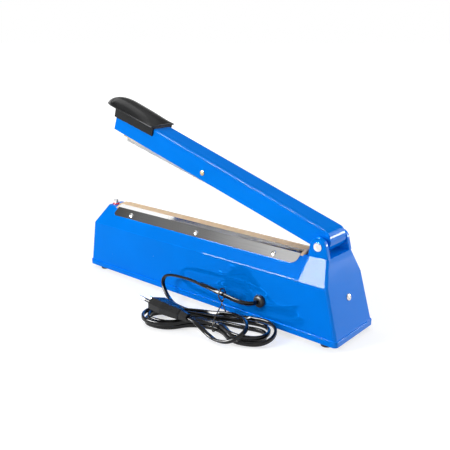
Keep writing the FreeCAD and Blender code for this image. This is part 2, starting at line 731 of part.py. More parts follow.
plateSheet = padded("XY_Plane", "zPlate", "plateThick", lambda sketch: roundedBox(
    sketch, f"{hingeEnd('rimHeight', 'wall')} + plateGap", f"{handleEnd('rimHeight', 'wall')} - plateGap",
    "wall + plateGap - footHalf", "footHalf - wall - plateGap", "innerCorner"))
tabTop = "endScrewRise + 10"
tabFoot = f"{hingeEnd('rimHeight', 'wall')} + plateGap"
tabHead = f"{hingeEnd(tabTop, 'wall')} + plateGap"
tab = extruded("XZ_Plane", -10, 20, lambda sketch: corners(sketch, [
    (tabFoot, "zPlate"), (f"{tabFoot} + plateThick", "zPlate"), (f"{tabFoot} + plateThick", "zRimTop"),
    (f"{tabHead} + plateThick", f"footGap + {tabTop}"), (tabHead, f"footGap + {tabTop}"),
    (tabFoot, "zRimTop")]))
bottomSpots = [(f"{along} * bossSpread", f"{side} * bossY") for along in (-1, 0, 1) for side in (-1, 1)]
footSpots = [(f"{end} * footX", f"{side} * footY") for end in (-1, 1) for side in (-1, 1)]
strapSpots = [f"coreX + {side} * (coreLength / 2 + strapThick + strapFoot / 2)" for side in (-1, 1)]
plateHoles = [rod("screwRadius + holeGap", 6, x, y, "zPlate - 2") for x, y in bottomSpots + footSpots]
strapHoles = [rod("endShank + holeGap", 6, x, 0, "zPlate - 2") for x in strapSpots]
keep("bottom_plate",
     minus(plus(plateSheet, tab), *plateHoles, *strapHoles, bore("endShank + holeGap", "8", endFrame)))

upward = Rotation(Vector(1, 0, 0), 180)
bottomFrames = [Placement(at(x, y, "zPlate"), upward) for x, y in bottomSpots]
keep("bottom_screws", together(copies(
    screwProfile("baseHead", "baseHeadRise", "screwRadius", "plateThick + bossRise - 6"), bottomFrames)))

footShape = [
    ("screwRadius + holeGap", "footSeat"), ("footBore", "footSeat"), ("footBore", 0),
    ("footRadius - footTaper", 0),
    ("footRadius", "0.6 * zPlate"), ("footRadius", "zPlate"), ("screwRadius + holeGap", "zPlate"),
]
footFrames = [Placement(at(x, y, 0), Rotation()) for x, y in footSpots]
keep("rubber_feet", together(copies(footShape, footFrames)))
footScrewFrames = [Placement(at(x, y, "footSeat"), upward) for x, y in footSpots]
keep("foot_screws", together(copies(
    screwProfile("baseHead", "baseHeadRise", "screwRadius", "zFloorIn - footSeat + 3"), footScrewFrames)))
keep("end_screw", together(copies(
    screwProfile("endHead", "endHeadRise", "endShank", "wall + plateGap + plateThick + 3"), [endFrame])))

# Sealing bed, ribbon, terminals, cloth and clamp plates.

bedShape = [
    ("-deckHalf", "zDeck"), ("deckHalf", "zDeck"), ("bedTopHalf", "zBed"), ("ribbonWidth / 2 + 0.1", "zBed"),
    ("ribbonWidth / 2 + 0.1", "zBed - ribbonThick"), ("-ribbonWidth / 2 - 0.1", "zBed - ribbonThick"),
    ("-ribbonWidth / 2 - 0.1", "zBed"), ("-bedTopHalf", "zBed"),
]
keep("sealing_bed", padded("YZ_Plane", "bedStart", "bedLength", lambda sketch: corners(sketch, bedShape)))

ribbonShape = [
    ("bedStart - ribbonThick", "zBed - ribbonDrop"), ("bedStart", "zBed - ribbonDrop"),
    ("bedStart", "zBed - ribbonThick"), ("bedEnd", "zBed - ribbonThick"), ("bedEnd", "zBed - ribbonDrop"),
    ("bedEnd + ribbonThick", "zBed - ribbonDrop"), ("bedEnd + ribbonThick", "zBed"),
    ("bedStart - ribbonThick", "zBed"),
]
keep("heating_element",
     padded("XZ_Plane", 0, "ribbonWidth", lambda sketch: corners(sketch, ribbonShape), True))

terminalRise = "ribbonDrop - bedRise - wall"
terminals = []
for start, screwAt in (("bedStart - ribbonThick - terminalLength", 0.5), ("bedEnd + ribbonThick", 0.5)):
    block = box(start, "-terminalWidth / 2", f"zDeck - wall - ({terminalRise})", "terminalLength",
                "terminalWidth",
                terminalRise)
    hole = rod("screwRadius", 30, f"{start} + {screwAt} * terminalLength", "0.28 * terminalWidth",
               "zDeck - 30")
    terminals.append(minus(block, hole))
keep("element_terminals", together(terminals))

fall = Vector(math.cos(math.radians(flankFall)), -math.sin(math.radians(flankFall)), 0)
climb = Vector(-math.cos(math.radians(bedFall)), math.sin(math.radians(bedFall)), 0)
flankOut = Vector(-fall.y, fall.x, 0)
bedOut = Vector(climb.y, -climb.x, 0)
fold = Vector(size("deckHalf"), size("zDeck"), 0)


def foldAt(lift):
    # the fold of a sheet that lies a given height above flank and bed
    half = math.acos(flankOut.dot(bedOut)) / 2
    return fold + (flankOut + bedOut).normalize() * (lift / math.cos(half))


cloth = size("clothThick")
clothEdge = foldAt(cloth) + fall * size("clothSkirt")
topHalf = size("bedTopHalf")
clothTop = Vector(topHalf + cloth * math.tan(math.radians(bedFall / 2)), size("zBed") + cloth, 0)
clothPath = [clothEdge, foldAt(cloth), clothTop]
clothPath = [(-spot.x, spot.y) for spot in clothPath] + [(spot.x, spot.y) for spot in clothPath[::-1]]
keep("ptfe_cover", padded("YZ_Plane", "bedStart + clothShift", "bedLength",
                          lambda sketch: corners(sketch, bent(clothPath, cloth))))

clampLift = size("clothThick + clampThick")
clampPath = [foldAt(clampLift) + climb * size("clampLip"), foldAt(clampLift),
             foldAt(clampLift) + fall * size("clampLeg")]
clampPath = [(spot.x, spot.y) for spot in clampPath]
clampStart = "clampCentre - clampLength / 2"
clampSheet = padded("YZ_Plane", clampStart, "clampLength",
                    lambda sketch: corners(sketch, bent(clampPath, size("clampThick"))))
lowEdge = foldAt(clampLift - size("clampThick") / 2) + fall * size("clampLeg")
clampCorners = [
    (Vector(size(clampStart), lowEdge.x, lowEdge.y), "clampCornerHinge"),
    (Vector(size(clampStart + " + clampLength"), lowEdge.x, lowEdge.y), "clampCornerHandle"),
]
clampRound = rounded(clampSheet, *clampCorners)
clampHoles = [bore("screwRadius + holeGap", "4", frame) for frame in clampFrames[:3]]
clampRear = keep("clamp_plate_rear", minus(clampRound, *clampHoles))
keep("clamp_plate_front", mirrored(clampRear))
headSeat = Placement(Vector(0, 0, clampLift), Rotation())
keep("clamp_screws", together(copies(
    screwProfile("screwHead", "screwHeadRise", "screwRadius", "clothThick + clampThick + wall + 4"),
    [frame.multiply(headSeat) for frame in clampFrames])))

# Transformer on the bottom plate.

coreStart = "coreX - coreLength / 2"
windowWidth = "(coreLength - 2 * coreLimb - coreLeg) / 2"
coreBlock = padded("XZ_Plane", 0, "coreStack", lambda sketch: corners(sketch, [
    (coreStart, "zFloorIn"), ("coreX + coreLength / 2", "zFloorIn"),
    ("coreX + coreLength / 2", "zFloorIn + coreRise"), (coreStart, "zFloorIn + coreRise")]), True)
windows = [
    box(start, "-coreStack", "zFloorIn + coreLimb", windowWidth, "2 * coreStack", "coreRise - 2 * coreLimb")
    for start in (f"{coreStart} + coreLimb", "coreX + coreLeg / 2")
]
keep("transformer_core", minus(coreBlock, *windows))
coilOuter = padded("XY_Plane", "zFloorIn + coreLimb + coilGap", "coreRise - 2 * coreLimb - 2 * coilGap",
                   lambda sketch: roundedBox(
                       sketch, "coreX - coreLeg / 2 - coilBuild", "coreX + coreLeg / 2 + coilBuild",
                       "-coreStack / 2 - coilBuild", "coreStack / 2 + coilBuild", "coilBuild - 1"))
coilInner = box("coreX - coreLeg / 2 - coilGap", "-coreStack / 2 - coilGap", "zFloorIn",
                "coreLeg + 2 * coilGap",
                "coreStack + 2 * coilGap", "coreRise")
keep("transformer_coil", minus(coilOuter, coilInner))
half = size("coreLength / 2")
strapTop = size("zFloorIn + coreRise + strapThick")
strapLow = size("zFloorIn + strapThick")
strapX = size("coreX")
strapSide = half + size("strapThick")
strapEnd = strapSide + size("strapFoot")
strapPath = [(strapX - strapEnd, strapLow), (strapX - strapSide, strapLow), (strapX - strapSide, strapTop),
             (strapX + strapSide, strapTop), (strapX + strapSide, strapLow), (strapX + strapEnd, strapLow)]
strap = padded("XZ_Plane", 0, "strapWidth",
               lambda sketch: corners(sketch, bent(strapPath, size("strapThick"))), True)
keep("transformer_bracket",
     minus(strap, *[rod("endShank + holeGap", 6, x, 0, "zFloorIn - 1") for x in strapSpots]))
strapFrames = [Placement(at(x, 0, "zFloorIn + strapThick"), Rotation()) for x in strapSpots]
keep("transformer_screws", together(copies(
    screwProfile("endHead", "endHeadRise", "endShank", "strapThick + plateThick + 1.5"), strapFrames)))

# Timer, knob and lamp on the front flank, drawn square to it.

potShape = [
    ("shaftRadius + runGap", "-wall - 8"), (0, "-wall - 8"), (0, "-wall - potDepth"),
    ("potRadius", "-wall - potDepth"),
    ("potRadius", "-wall - seatGap"), ("bushRadius", "-wall - seatGap"), ("bushRadius", "bushReach"),
    ("shaftRadius + runGap", "bushReach"),
]
keep("potentiometer", turned(potShape), knobFrame)
nutSide = "nutFlat / 2 / cos(30)"
nutBlock = padded("XY_Plane", 0, "nutThick", lambda sketch: corners(sketch, [
    (f"{nutSide} * cos({60 * step})", f"{nutSide} * sin({60 * step})") for step in range(6)]))
keep("pot_nut", minus(nutBlock, rod("bushRadius + runGap", 20, 0, 0, -5)), knobFrame)
shaftShape = [(0, "-wall - 7.7"), ("shaftRadius", "-wall - 7.7"), ("shaftRadius", "shaftReach"),
              (0, "shaftReach")]
keep("potentiometer_shaft", turned(shaftShape), knobFrame)

knobTop = "knobLift + knobRise"
knobHollow = "bushReach + 0.6"
knobShape = [
    ("shaftRadius + runGap", knobHollow), ("0.75 * knobRadius", knobHollow),
    ("0.75 * knobRadius", "knobLift"),
    ("knobRadius", "knobLift"), ("knobRadius", "knobLift + 0.7 * knobSkirt"),
    ("knobRadius - 0.3 * knobSkirt", "knobLift + knobSkirt"), ("knobGrip + 0.4", "knobLift + knobSkirt"),
    ("knobGrip - 0.6", f"{knobTop} - 1"), ("knobGrip - 1.6", knobTop), (0, knobTop), (0, "shaftReach + 0.2"),
    ("shaftRadius + runGap", "shaftReach + 0.2"),
]
flutes = [
    rod("knobFlute", "knobRise", f"(knobGrip + 0.55 * knobFlute) * cos({30 * step})",
        f"(knobGrip + 0.55 * knobFlute) * sin({30 * step})", "knobLift + knobSkirt")
    for step in range(12)
]
pointer = box(-0.7, "0.3 * knobGrip", f"{knobTop} - 0.5", 1.4, "knobGrip", 2)
keep("timer_knob", minus(turned(knobShape), *flutes, pointer), knobFrame)

boardBack = "-wall - potDepth - boardThick"
board = padded("XY_Plane", boardBack, "boardThick", lambda sketch: roundedBox(
    sketch, "lampAlong + boardPast - boardLength", "lampAlong + boardPast", "-boardRise / 2", "boardRise / 2",
    "boardCorner"))
keep("timer_board", board, knobFrame)
relay = box("relayAlong", "-relayLow", f"{boardBack} - relayRise", "relayLength", "relayWidth", "relayRise")
chip = box("-chipBack", "chipHigh", f"{boardBack} - chipRise", "chipLength", "chipWidth", "chipRise")
diode = box("-diodeBack", "diodeHigh", f"{boardBack} - diodeRise", "diodeLength", "diodeWidth", "diodeRise")
tallCan = rod("tallCanRadius", "tallCanRise", "-tallCanBack", "-tallCanLow", f"{boardBack} - tallCanRise")
shortCan = rod("shortCanRadius", "shortCanRise", "shortCanAlong", "-shortCanLow",
               f"{boardBack} - shortCanRise")
keep("timer_parts", together([relay, chip, diode, tallCan, shortCan]), knobFrame)
lensShape = [
    (0, "-lensDepth"), ("lensStem", "-lensDepth"), ("lensStem", 0), ("lensRadius", 0),
    ("lensRadius", "0.35 * lensRise"),
    ("0.8 * lensRadius", "0.75 * lensRise"), ("0.4 * lensRadius", "lensRise"), (0, "lensRise"),
]
keep("indicator_lens", turned(lensShape), lensFrame)
lampShape = [(0, "-wall - potDepth"), ("0.85 * lensStem", "-wall - potDepth"),
             ("0.85 * lensStem", "-lensDepth"),
             (0, "-lensDepth")]
keep("indicator_lamp", turned(lampShape), lensFrame)

# Switch under the deck: collar, plunger, body and lever.

plungerFrame = Placement(at("plungerX", "plungerSide", "zDeck"), Rotation())
collarShape = [
    ("plungerRadius + runGap", "-wall - 2"), ("collarStem", "-wall - 2"), ("collarStem", 0),
    ("collarRadius", 0),
    ("collarRadius", "0.8 * collarRise"), ("0.9 * collarRadius", "collarRise"),
    ("plungerRadius + runGap", "collarRise"),
]
keep("plunger_collar", turned(collarShape), plungerFrame)
plungerShape = [
    (0, "-plungerDepth"), ("plungerRadius", "-plungerDepth"), ("plungerRadius", "-wall - 3.6"),
    ("flangeRadius", "-wall - 3.6"), ("flangeRadius", "-wall - 2.4"), ("plungerRadius", "-wall - 2.4"),
    ("plungerRadius", "plungerReach - 0.8"), ("plungerRadius - 0.8", "plungerReach"), (0, "plungerReach"),
]
keep("switch_plunger", turned(plungerShape), plungerFrame)

switchSide = "plungerSide - switchWidth / 2"
switchStart = "plungerX + 1.5 - switchLength"
switchTop = "zDeck - switchDrop"
switchBlock = box(switchStart, f"{switchSide} + 0.3", f"{switchTop} - switchRise", "switchLength",
                  "switchWidth", "switchRise")
button = box("plungerX - 11", "plungerSide - 0.7", f"{switchTop} - 1", 2, 2, 1.9)
prongs = [
    box(f"{switchStart} + {along}", "plungerSide - 1.5", f"{switchTop} - switchRise - 6", 0.8, 4.8, 7)
    for along in (2, 9, 16)
]
keep("switch_body", minus(plus(switchBlock, button, *prongs), *switchBores))
switchFrames = [
    Placement(at(f"plungerX - {along}", f"{switchSide} + 0.3", f"{switchTop} - 5.2"),
              Rotation(Vector(1, 0, 0), 90))
    for along in (13.2, 3.7)
]
keep("switch_screws", together(copies(screwProfile(1.9, 1.2, 1, "switchWidth + ribThick"), switchFrames)))
leverReach = "(plungerX - leverX + 1.5)"
lever = padded("XZ_Plane", 0, "leverWidth", lambda sketch: corners(sketch, [
    (0, "-leverThick / 2"), (f"{leverReach} / cos(leverTilt)", "-leverThick / 2"),
    (f"{leverReach} / cos(leverTilt)", "leverThick / 2"), (0, "leverThick / 2")]), True)
leverPivot = rod("leverRadius", "leverWidth", 0, "-leverWidth / 2", 0, "y")
leverFrame = Placement(at("leverX", "plungerSide + 0.3", f"{switchTop} + leverRadius + 0.2"),
                       Rotation(Vector(0, 1, 0), -size("leverTilt")))
keep("switch_lever", plus(lever, leverPivot), leverFrame)

# Hinge: pin with head, clip, spacers and return spring.

pinFrame = Placement(at("hingeX", "postHalf", "hingeZ"), Rotation(Vector(1, 0, 0), -90))
pinEnd = "-2 * postHalf - pinTail"
pinShape = [
    (0, pinEnd), ("pinRadius - 0.4", pinEnd), ("pinRadius", f"{pinEnd} + 0.4"), ("pinRadius", 0),
    ("pinHead", 0),
    ("pinHead", "0.7 * pinHeadRise"), ("pinHead - 0.5", "pinHeadRise"), (0, "pinHeadRise"),
]
keep("hinge_pin", turned(pinShape), pinFrame)
clipRing = minus(rod("clipRadius", "clipThick", 0, 0, "-2 * postHalf - clipThick - 0.1"),
                 rod("pinRadius + runGap", "2 * rimWidth", 0, 0, "-rimWidth"))
clipMouth = box("-0.7 * pinRadius", 0, "-rimWidth", "1.4 * pinRadius", "2 * clipRadius", "2 * rimWidth")
keep("pin_clip", minus(clipRing, clipMouth), pinFrame)
spacerIn = "armFootHalf + moveGap"
spacerOut = "postHalf - earWidth"
spacers = [
    minus(rod("spacerRadius", f"{spacerOut} - ({spacerIn})", "hingeX", start, "hingeZ", "y"),
          rod("pinRadius + holeGap", "2 * rimWidth", "hingeX", "-rimWidth", "hingeZ", "y"))
    for start in (spacerIn, f"-({spacerOut})")
]
keep("hinge_bushes", together(spacers))


def arcTo(start, way, end):
    # the arc that leaves start along way and ends at end
    chord = end - start
    along = Vector(chord).normalize()
    square = way - along * way.dot(along)
    if square.Length < 1e-6:
        return Part.LineSegment(start, end).toShape()
    angle = way.getAngle(along)
    middle = start + chord / 2 + square.normalize() * (chord.Length / 2 * math.tan(angle / 2))
    return Part.Arc(start, middle, end).toShape()


def biarc(start, way, end, endWay):
    # two arcs that leave start along way, arrive at end along endWay and meet smoothly
    gap = end - start
    sumWay = way + endWay
    spread = 2 * (1 - way.dot(endWay))
    reach = gap.dot(sumWay)
    if spread < 1e-9:
        if abs(gap.dot(endWay)) > gap.Length - 1e-6:
            return [Part.LineSegment(start, end).toShape()]
        arm = gap.dot(gap) / (4 * gap.dot(endWay))
    else:
        arm = (-reach + math.sqrt(reach * reach + spread * gap.dot(gap))) / spread
    joint = (start + way * arm + end - endWay * arm) / 2
    meet = (end - endWay * arm - start - way * arm).normalize()
    return [arcTo(start, way, joint), arcTo(joint, meet, end)]


def pipe(edges, radius):
    wire = Part.Wire(edges)
    first = edges[0]
    begin = first.valueAt(first.FirstParameter)
    way = first.tangentAt(first.FirstParameter)
    section = Part.Wire([Part.makeCircle(radius, begin, way)])
    solid = wire.makePipeShell([section], True, False)
    share = solid.Volume / (math.pi * radius * radius * wire.Length)
    return solid, wire, share


def leastGap(wire, width, apart):
    # least distance between two stretches of a wire that lie further apart along it than a given length
    step = width / 4
    points = wire.discretize(Distance=step)
    skip = int(apart / step)
    least = min(
        (points[one] - points[two]).Length
        for one in range(len(points)) for two in range(one + skip, len(points)))
    return least - width


def feature(label, shape):
    thing = doc.addObject("Part::Feature", "Shape")
    thing.Shape = shape
    return keep(label, thing)


springR = size("springRadius")
springRise = size("springPitch")
springStart = -size("springTurns") * springRise / 2
wire = size("springWire")


def coilPoint(turn):
    angle = 2 * math.pi * turn
    return Vector(-springR * math.sin(angle), springStart + springRise * turn, springR * math.cos(angle))


def coilWay(turn):
    angle = 2 * math.pi * turn
    return Vector(-springR * math.cos(angle), springRise / (2 * math.pi),
                  -springR * math.sin(angle)).normalize()


firstTurn = size("springLegAngle / 360")
lastTurn = size("springTurns + 0.5 - springFootAngle / 360")
quarters = round((lastTurn - firstTurn) * 4)
turns = [firstTurn + (lastTurn - firstTurn) * step / quarters for step in range(quarters + 1)]
legRoom = size("armTopTail - armWall - springWire / 2 - moveGap") - coilPoint(firstTurn).z
legEnd = coilPoint(firstTurn) - coilWay(firstTurn) * (legRoom / math.sin(math.radians(size("springLegAngle"))))
springEdges = [Part.LineSegment(legEnd, coilPoint(firstTurn)).toShape()]
for one, two in zip(turns, turns[1:]):
    springEdges += biarc(coilPoint(one), coilWay(one), coilPoint(two), coilWay(two))
lean = math.radians(size("openAngle"))
springEnd = coilPoint(lastTurn)
springFoot = springEnd.x * math.sin(lean) + springEnd.z * math.cos(lean)
footRoom = springFoot + size("hingeRise - postRise - springWire / 2 - moveGap")
footLeg = footRoom / math.sin(math.radians(size("springFootAngle")) - lean)
springEdges.append(Part.LineSegment(springEnd, springEnd + coilWay(lastTurn) * footLeg).toShape())
springSolid, springWire, springShare = pipe(springEdges, wire / 2)
print("spring gap", round(leastGap(springWire, wire, 5 * wire), 3), "share", round(springShare, 4))

# Arm: a channel with drafted sides, drawn level from the hinge axis.


def armTop(along):
    return f"armTopTail + armSlope * ({along})"


def armSide(sketch, drop, gap):
    # side view of the arm, drawn in by a gap: the top runs on round the tail to a rounded lip
    inset = size(gap)
    slope = size("armSlope")
    square = Vector(-slope, 1, 0).normalize()
    centre = Vector(size("tailAhead"), size(armTop("tailAhead")), 0) - Vector(0, size("tailRadius") / square.y, 0)
    radius = size("tailRadius") - inset
    front = size("armLength") - inset
    low = -size("armFloor") - size(drop)
    lowBack = Vector(inset - size("tailFoot"), low, 0)
    away = lowBack - centre
    first = math.atan2(square.y, square.x)
    last = math.atan2(away.y, away.x) + 2 * math.pi - math.acos(radius / away.Length)
    top, middle, back = [centre + Vector(math.cos(angle), math.sin(angle), 0) * radius
                         for angle in (first, (first + last) / 2, last)]
    lowFront = Vector(front, low, 0)
    topFront = Vector(front, top.y + slope * (front - top.x), 0)
    sketch.addGeometry(Part.Arc(top, middle, back))
    up = (back - lowBack).normalize()
    half = (math.pi - math.atan2(up.y, -up.x)) / 2
    lip = size("tailLip")
    lipBack = lowBack + up * (lip / math.tan(half))
    lipFront = lowBack + Vector(lip / math.tan(half), 0, 0)
    lipLow = lowBack + (up + Vector(1, 0, 0)).normalize() * (lip / math.sin(half) - lip)
    sketch.addGeometry(Part.Arc(lipBack, lipLow, lipFront))
    for start, end in ((back, lipBack), (lipFront, lowFront), (lowFront, topFront), (topFront, top)):
        sketch.addGeometry(Part.LineSegment(start, end))
    return sketch


def armSection(sketch, gap):
    low = "-armFloor - 2"
    high = "armTopFront + 4"
    wide = f"armFootHalf + 2 * armDraft + {gap}"
    narrow = f"armTopHalf - 4 * armDraft + {gap}"
    return corners(sketch, [(f"-({wide})", low), (wide, low), (narrow, high), (f"-({narrow})", high)])


def armEnvelope(gap):
    block = extruded("XZ_Plane", -30, 60, lambda sketch: armSide(sketch, 0, f"-({gap})"))
    section = extruded("YZ_Plane", -60, "armLength + 120", lambda sketch: armSection(sketch, gap))
    return shared(block, section)


armBack = "tailAhead - tailRadius - 2"
armWedge = extruded("XZ_Plane", -30, 60, lambda sketch: corners(sketch, [
    (armBack, "-armFloor"), ("armLength", "-armFloor"), ("armLength", "armTopFront"),
    (armBack, armTop(armBack))]))
armBlock = shared(armWedge,
                  extruded("YZ_Plane", -60, "armLength + 120", lambda sketch: armSection(sketch, 0)))
topSpots = [Vector(size("armLength / 2"), side * size("armTopHalf + armDraft * 2"),
                   size(armTop("armLength / 2")))
            for side in (-1, 1)]
armRound = shared(rounded(armBlock, *[(spot, "armEdge") for spot in topSpots]),
                  extruded("XZ_Plane", -30, 60, lambda sketch: armSide(sketch, 0, 0)))
armHollow = extruded("XZ_Plane", "armWall - armTopHalf", "2 * armTopHalf - 2 * armWall",
                     lambda sketch: armSide(sketch, 2, "armWall"))
gripScrewAt = ["armLength - 0.75 * gripLength", "armLength - 0.25 * gripLength"]
armBores = [
    rod("pinRadius + runGap", "rimWidth", 0, "-rimWidth / 2", 0, "y"),
    rod("barPinRadius + holeGap", "rimWidth", "barPinX", "-rimWidth / 2", "barPinRise", "y"),
    rod("screwRadius + holeGap", 20, "armLength - 10", 0, "strikerScrew", "x"),
] + [rod("screwRadius + holeGap", 30, along, 0, 0) for along in gripScrewAt]
keep("arm_shell", minus(armRound, armHollow, *armBores), armFrame)

springThing = feature("return_spring", springSolid)
springThing.Placement = armFrame

rivetHalf = "armFootHalf - armDraft * (armFloor + barPinRise - barPinHead) + 0.05"
rivetFrame = armFrame.multiply(Placement(at("barPinX", 0, "barPinRise"), Rotation(Vector(1, 0, 0), -90)))
rivetShape = [
    (0, f"-({rivetHalf}) - barPinHeadRise"), ("0.6 * barPinHead", f"-({rivetHalf}) - barPinHeadRise"),
    ("barPinHead", f"-({rivetHalf}) - 0.4 * barPinHeadRise"), ("barPinHead", f"-({rivetHalf})"),
    ("barPinRadius", f"-({rivetHalf})"), ("barPinRadius", rivetHalf), ("barPinHead", rivetHalf),
    ("barPinHead", f"{rivetHalf} + 0.4 * barPinHeadRise"),
    ("0.6 * barPinHead", f"{rivetHalf} + barPinHeadRise"),
    (0, f"{rivetHalf} + barPinHeadRise"),
]
keep("bar_pin", turned(rivetShape), rivetFrame)

# Striker inside the arm's front wall, its foot over the plunger.

strikerIn = "armLength - armWall"
strikerLow = "hingeZ - zDeck - plungerReach - moveGap"
strikerFoot = size(f"-({strikerLow})")
strikerPath = [(size(strikerIn), size("strikerTop")), (size(strikerIn), strikerFoot + size("strikerThick")),
               (size("plungerX - hingeX + strikerNose"), strikerFoot + size("strikerThick"))]
strikerSheet = padded("XZ_Plane", 0, "strikerWidth",
                      lambda sketch: corners(sketch, bent(strikerPath, size("strikerThick"))), True)
keep("switch_striker",
     minus(strikerSheet, rod("screwRadius + holeGap", 20, "armLength - 10", 0, "strikerScrew", "x")),
     armFrame)
strikerSeat = armFrame.multiply(Placement(at("armLength - armWall - strikerThick", 0, "strikerScrew"),
                                          Rotation(Vector(0, 1, 0), -90)))
keep("striker_screw", together(copies(
    screwProfile("screwHead", "screwHeadRise", "screwRadius", "armWall + strikerThick"), [strikerSeat])))

# Grip: a domed cap with a skirt over the arm's front.


def dome(along, half, edge, crown, thick):
    low = [Vector(along, -half, edge - thick), Vector(along, half, edge - thick)]
    high = [Vector(along, half, edge), Vector(along, -half, edge)]
    return Part.Wire([
        Part.LineSegment(low[0], low[1]).toShape(), Part.LineSegment(low[1], high[0]).toShape(),
        Part.Arc(high[0], Vector(along, 0, edge + crown), high[1]).toShape(),
        Part.LineSegment(high[1], low[0]).toShape()])


gripFront = size("armLength")
gripRear = size("armLength - gripLength")
gripLow = size("armTopFront + gripLift")
gripHigh = size(f"{armTop('armLength - gripLength')} + gripRearLift")
gripHalf = size("gripHalf")
gripCrown = size("gripCrown")
gripNose = size("gripNose")
gripEdge = size("gripEdge")
# share of the way from the rear edge to the arm's front, share of the crown's climb
climbs = [(0, 0), (0.1, 0.3), (0.26, 0.6), (0.5, 0.83), (0.76, 0.96), (1, 1)]
# share of the nose, share of the half width, drop of the edge and share of the crown
noses = [(0.38, 0.88, 1.2, 0.95), (0.68, 0.6, 3.4, 0.76), (0.9, 0.3, 5.6, 0.43), (1, 0.1, 6.8, 0.2)]
domeSections = []
for share, gain in climbs:
    edge = gripHigh + (gripLow - gripHigh) * share
    crown = size("gripRearCrown") + (gripCrown - size("gripRearCrown")) * gain
    domeSections.append(dome(gripRear + (gripFront - gripRear) * share, gripHalf, edge, crown, gripEdge))
for share, narrow, drop, crown in noses:
    domeSections.append(dome(gripFront + share * gripNose, narrow * gripHalf, gripLow - drop,
                             crown * gripCrown, gripEdge))
domeSolid = doc.addObject("Part::Feature", "Dome")
domeSolid.Shape = Part.makeLoft(domeSections, True, False)
skirt = extruded("XZ_Plane", "-gripSide", "2 * gripSide", lambda sketch: corners(sketch, [
    ("armLength - gripLength", "gripSkirtRear"), ("armLength + gripWall", "gripSkirtFront"),
    ("armLength + gripWall", "armTopFront + gripLift"),
    ("armLength - gripLength", f"{armTop('armLength - gripLength')} + gripRearLift")]))
gripBores = [rod("screwRadius + holeGap", "armTopFront + 8", along, 0, 0) for along in gripScrewAt]
gripBody = minus(plus(domeSolid, skirt), armEnvelope("gripGap"), *gripBores)
keep("handle_grip", gripBody, armFrame)
gripScrewSeats = [
    armFrame.multiply(Placement(at(along, 0, f"{armTop(along)} - armWall - seatGap"), upward))
    for along in gripScrewAt
]
keep("grip_screws", together(copies(
    screwProfile("screwHead", "screwHeadRise", "screwRadius", "armWall + 6"), gripScrewSeats)))

# Pressure bar and pad, drawn level and hung from the rivet.

barStart = "barPinX - padLength / 2 - barOver"
barSection = bent([(-size("barWidth / 2"), -size("padTop") + size("barRise")),
                   (-size("barWidth / 2"), -size("padTop")),
                   (size("barWidth / 2"), -size("padTop")),
                   (size("barWidth / 2"), -size("padTop") + size("barRise"))],
                  -size("barThick"))
channel = padded("YZ_Plane", barStart, "padLength + 2 * barOver", lambda sketch: corners(sketch, barSection))


def pivotEar(sketch):
    low = size("barRise - padTop") - 1
    half = size("barEarHalf")
    radius = size("barEarRadius")
    middle = Vector(size("barPinX"), size("barPinRise"), 0)
    left = Vector(middle.x - half, low, 0)
    right = Vector(middle.x + half, low, 0)
    sketch.addGeometry(Part.LineSegment(left, right))
    sketch.addGeometry(Part.LineSegment(right, middle + Vector(radius, 0, 0)))
    sketch.addGeometry(Part.Arc(middle + Vector(radius, 0, 0), middle + Vector(0, radius, 0),
                                middle - Vector(radius, 0, 0)))
    sketch.addGeometry(Part.LineSegment(middle - Vector(radius, 0, 0), left))
    return sketch


ears = [extruded("XZ_Plane", start, "barThick", pivotEar)
        for start in ("barWidth / 2 - barThick", "-barWidth / 2")]
keep("pressure_bar",
     minus(plus(channel, *ears),
           rod("barPinRadius + runGap", "rimWidth", "barPinX", "-rimWidth / 2", "barPinRise", "y")),
     barFrame)
pad = padded("XY_Plane", "-padFoot", "padThick", lambda sketch: roundedBox(
    sketch, "barPinX - padLength / 2", "barPinX + padLength / 2", "-padWidth / 2", "padWidth / 2", 1))
keep("silicone_strip", pad, barFrame)

# Cord: from the strain relief along the base, round the hank and on to the plug.

glandShape = [
    (0, "-wall - 2"), ("glandStem + 0.9", "-wall - 2"), ("glandStem + 0.9", "-wall - seatGap"),
    ("glandStem", "-wall - seatGap"), ("glandStem", 0), ("glandRadius", 0),
    ("glandRadius", "0.55 * glandReach"), ("0.85 * glandRadius", "0.85 * glandReach"),
    ("0.6 * glandRadius", "glandReach"), (0, "glandReach"),
]
keep("strain_relief", turned(glandShape), glandFrame)


def route(points, width, name):
    # straight runs joined by arcs as large as the runs allow
    edges = []
    start = points[0]
    radii = []
    for step in range(1, len(points) - 1):
        before = points[step] - points[step - 1]
        after = points[step + 1] - points[step]
        turn = before.getAngle(after)
        cut = 0.45 * min(before.Length, after.Length)
        radii.append(cut / math.tan(turn / 2))
        enter = points[step] - Vector(before).normalize() * cut
        leave = points[step] + Vector(after).normalize() * cut
        bisect = (Vector(after).normalize() - Vector(before).normalize()).normalize()
        middle = points[step] + bisect * (radii[-1] / math.cos(turn / 2) - radii[-1])
        edges.append(Part.LineSegment(start, enter).toShape())
        edges.append(Part.Arc(enter, middle, leave).toShape())
        start = leave
    edges.append(Part.LineSegment(start, points[-1]).toShape())
    solid, wire, share = pipe(edges, width / 2)
    print(name, "radii", [round(radius, 1) for radius in radii], "length", round(wire.Length, 1), "share",
          round(share, 4))
    return solid, wire


cord = size("cordWidth")
turn = math.radians(size("hankTurn"))
alongHank = Vector(math.cos(turn), math.sin(turn), 0)
acrossHank = Vector(-math.sin(turn), math.cos(turn), 0)
hankCentre = Vector(-61.5, 87, 0)
endArm = size("hankHalf")
lowLayer = size("hankLow")
highLayer = size("hankLow + hankLayer")


def hankPoint(along, across, height):
    return hankCentre + alongHank * along + acrossHank * across + Vector(0, 0, height)


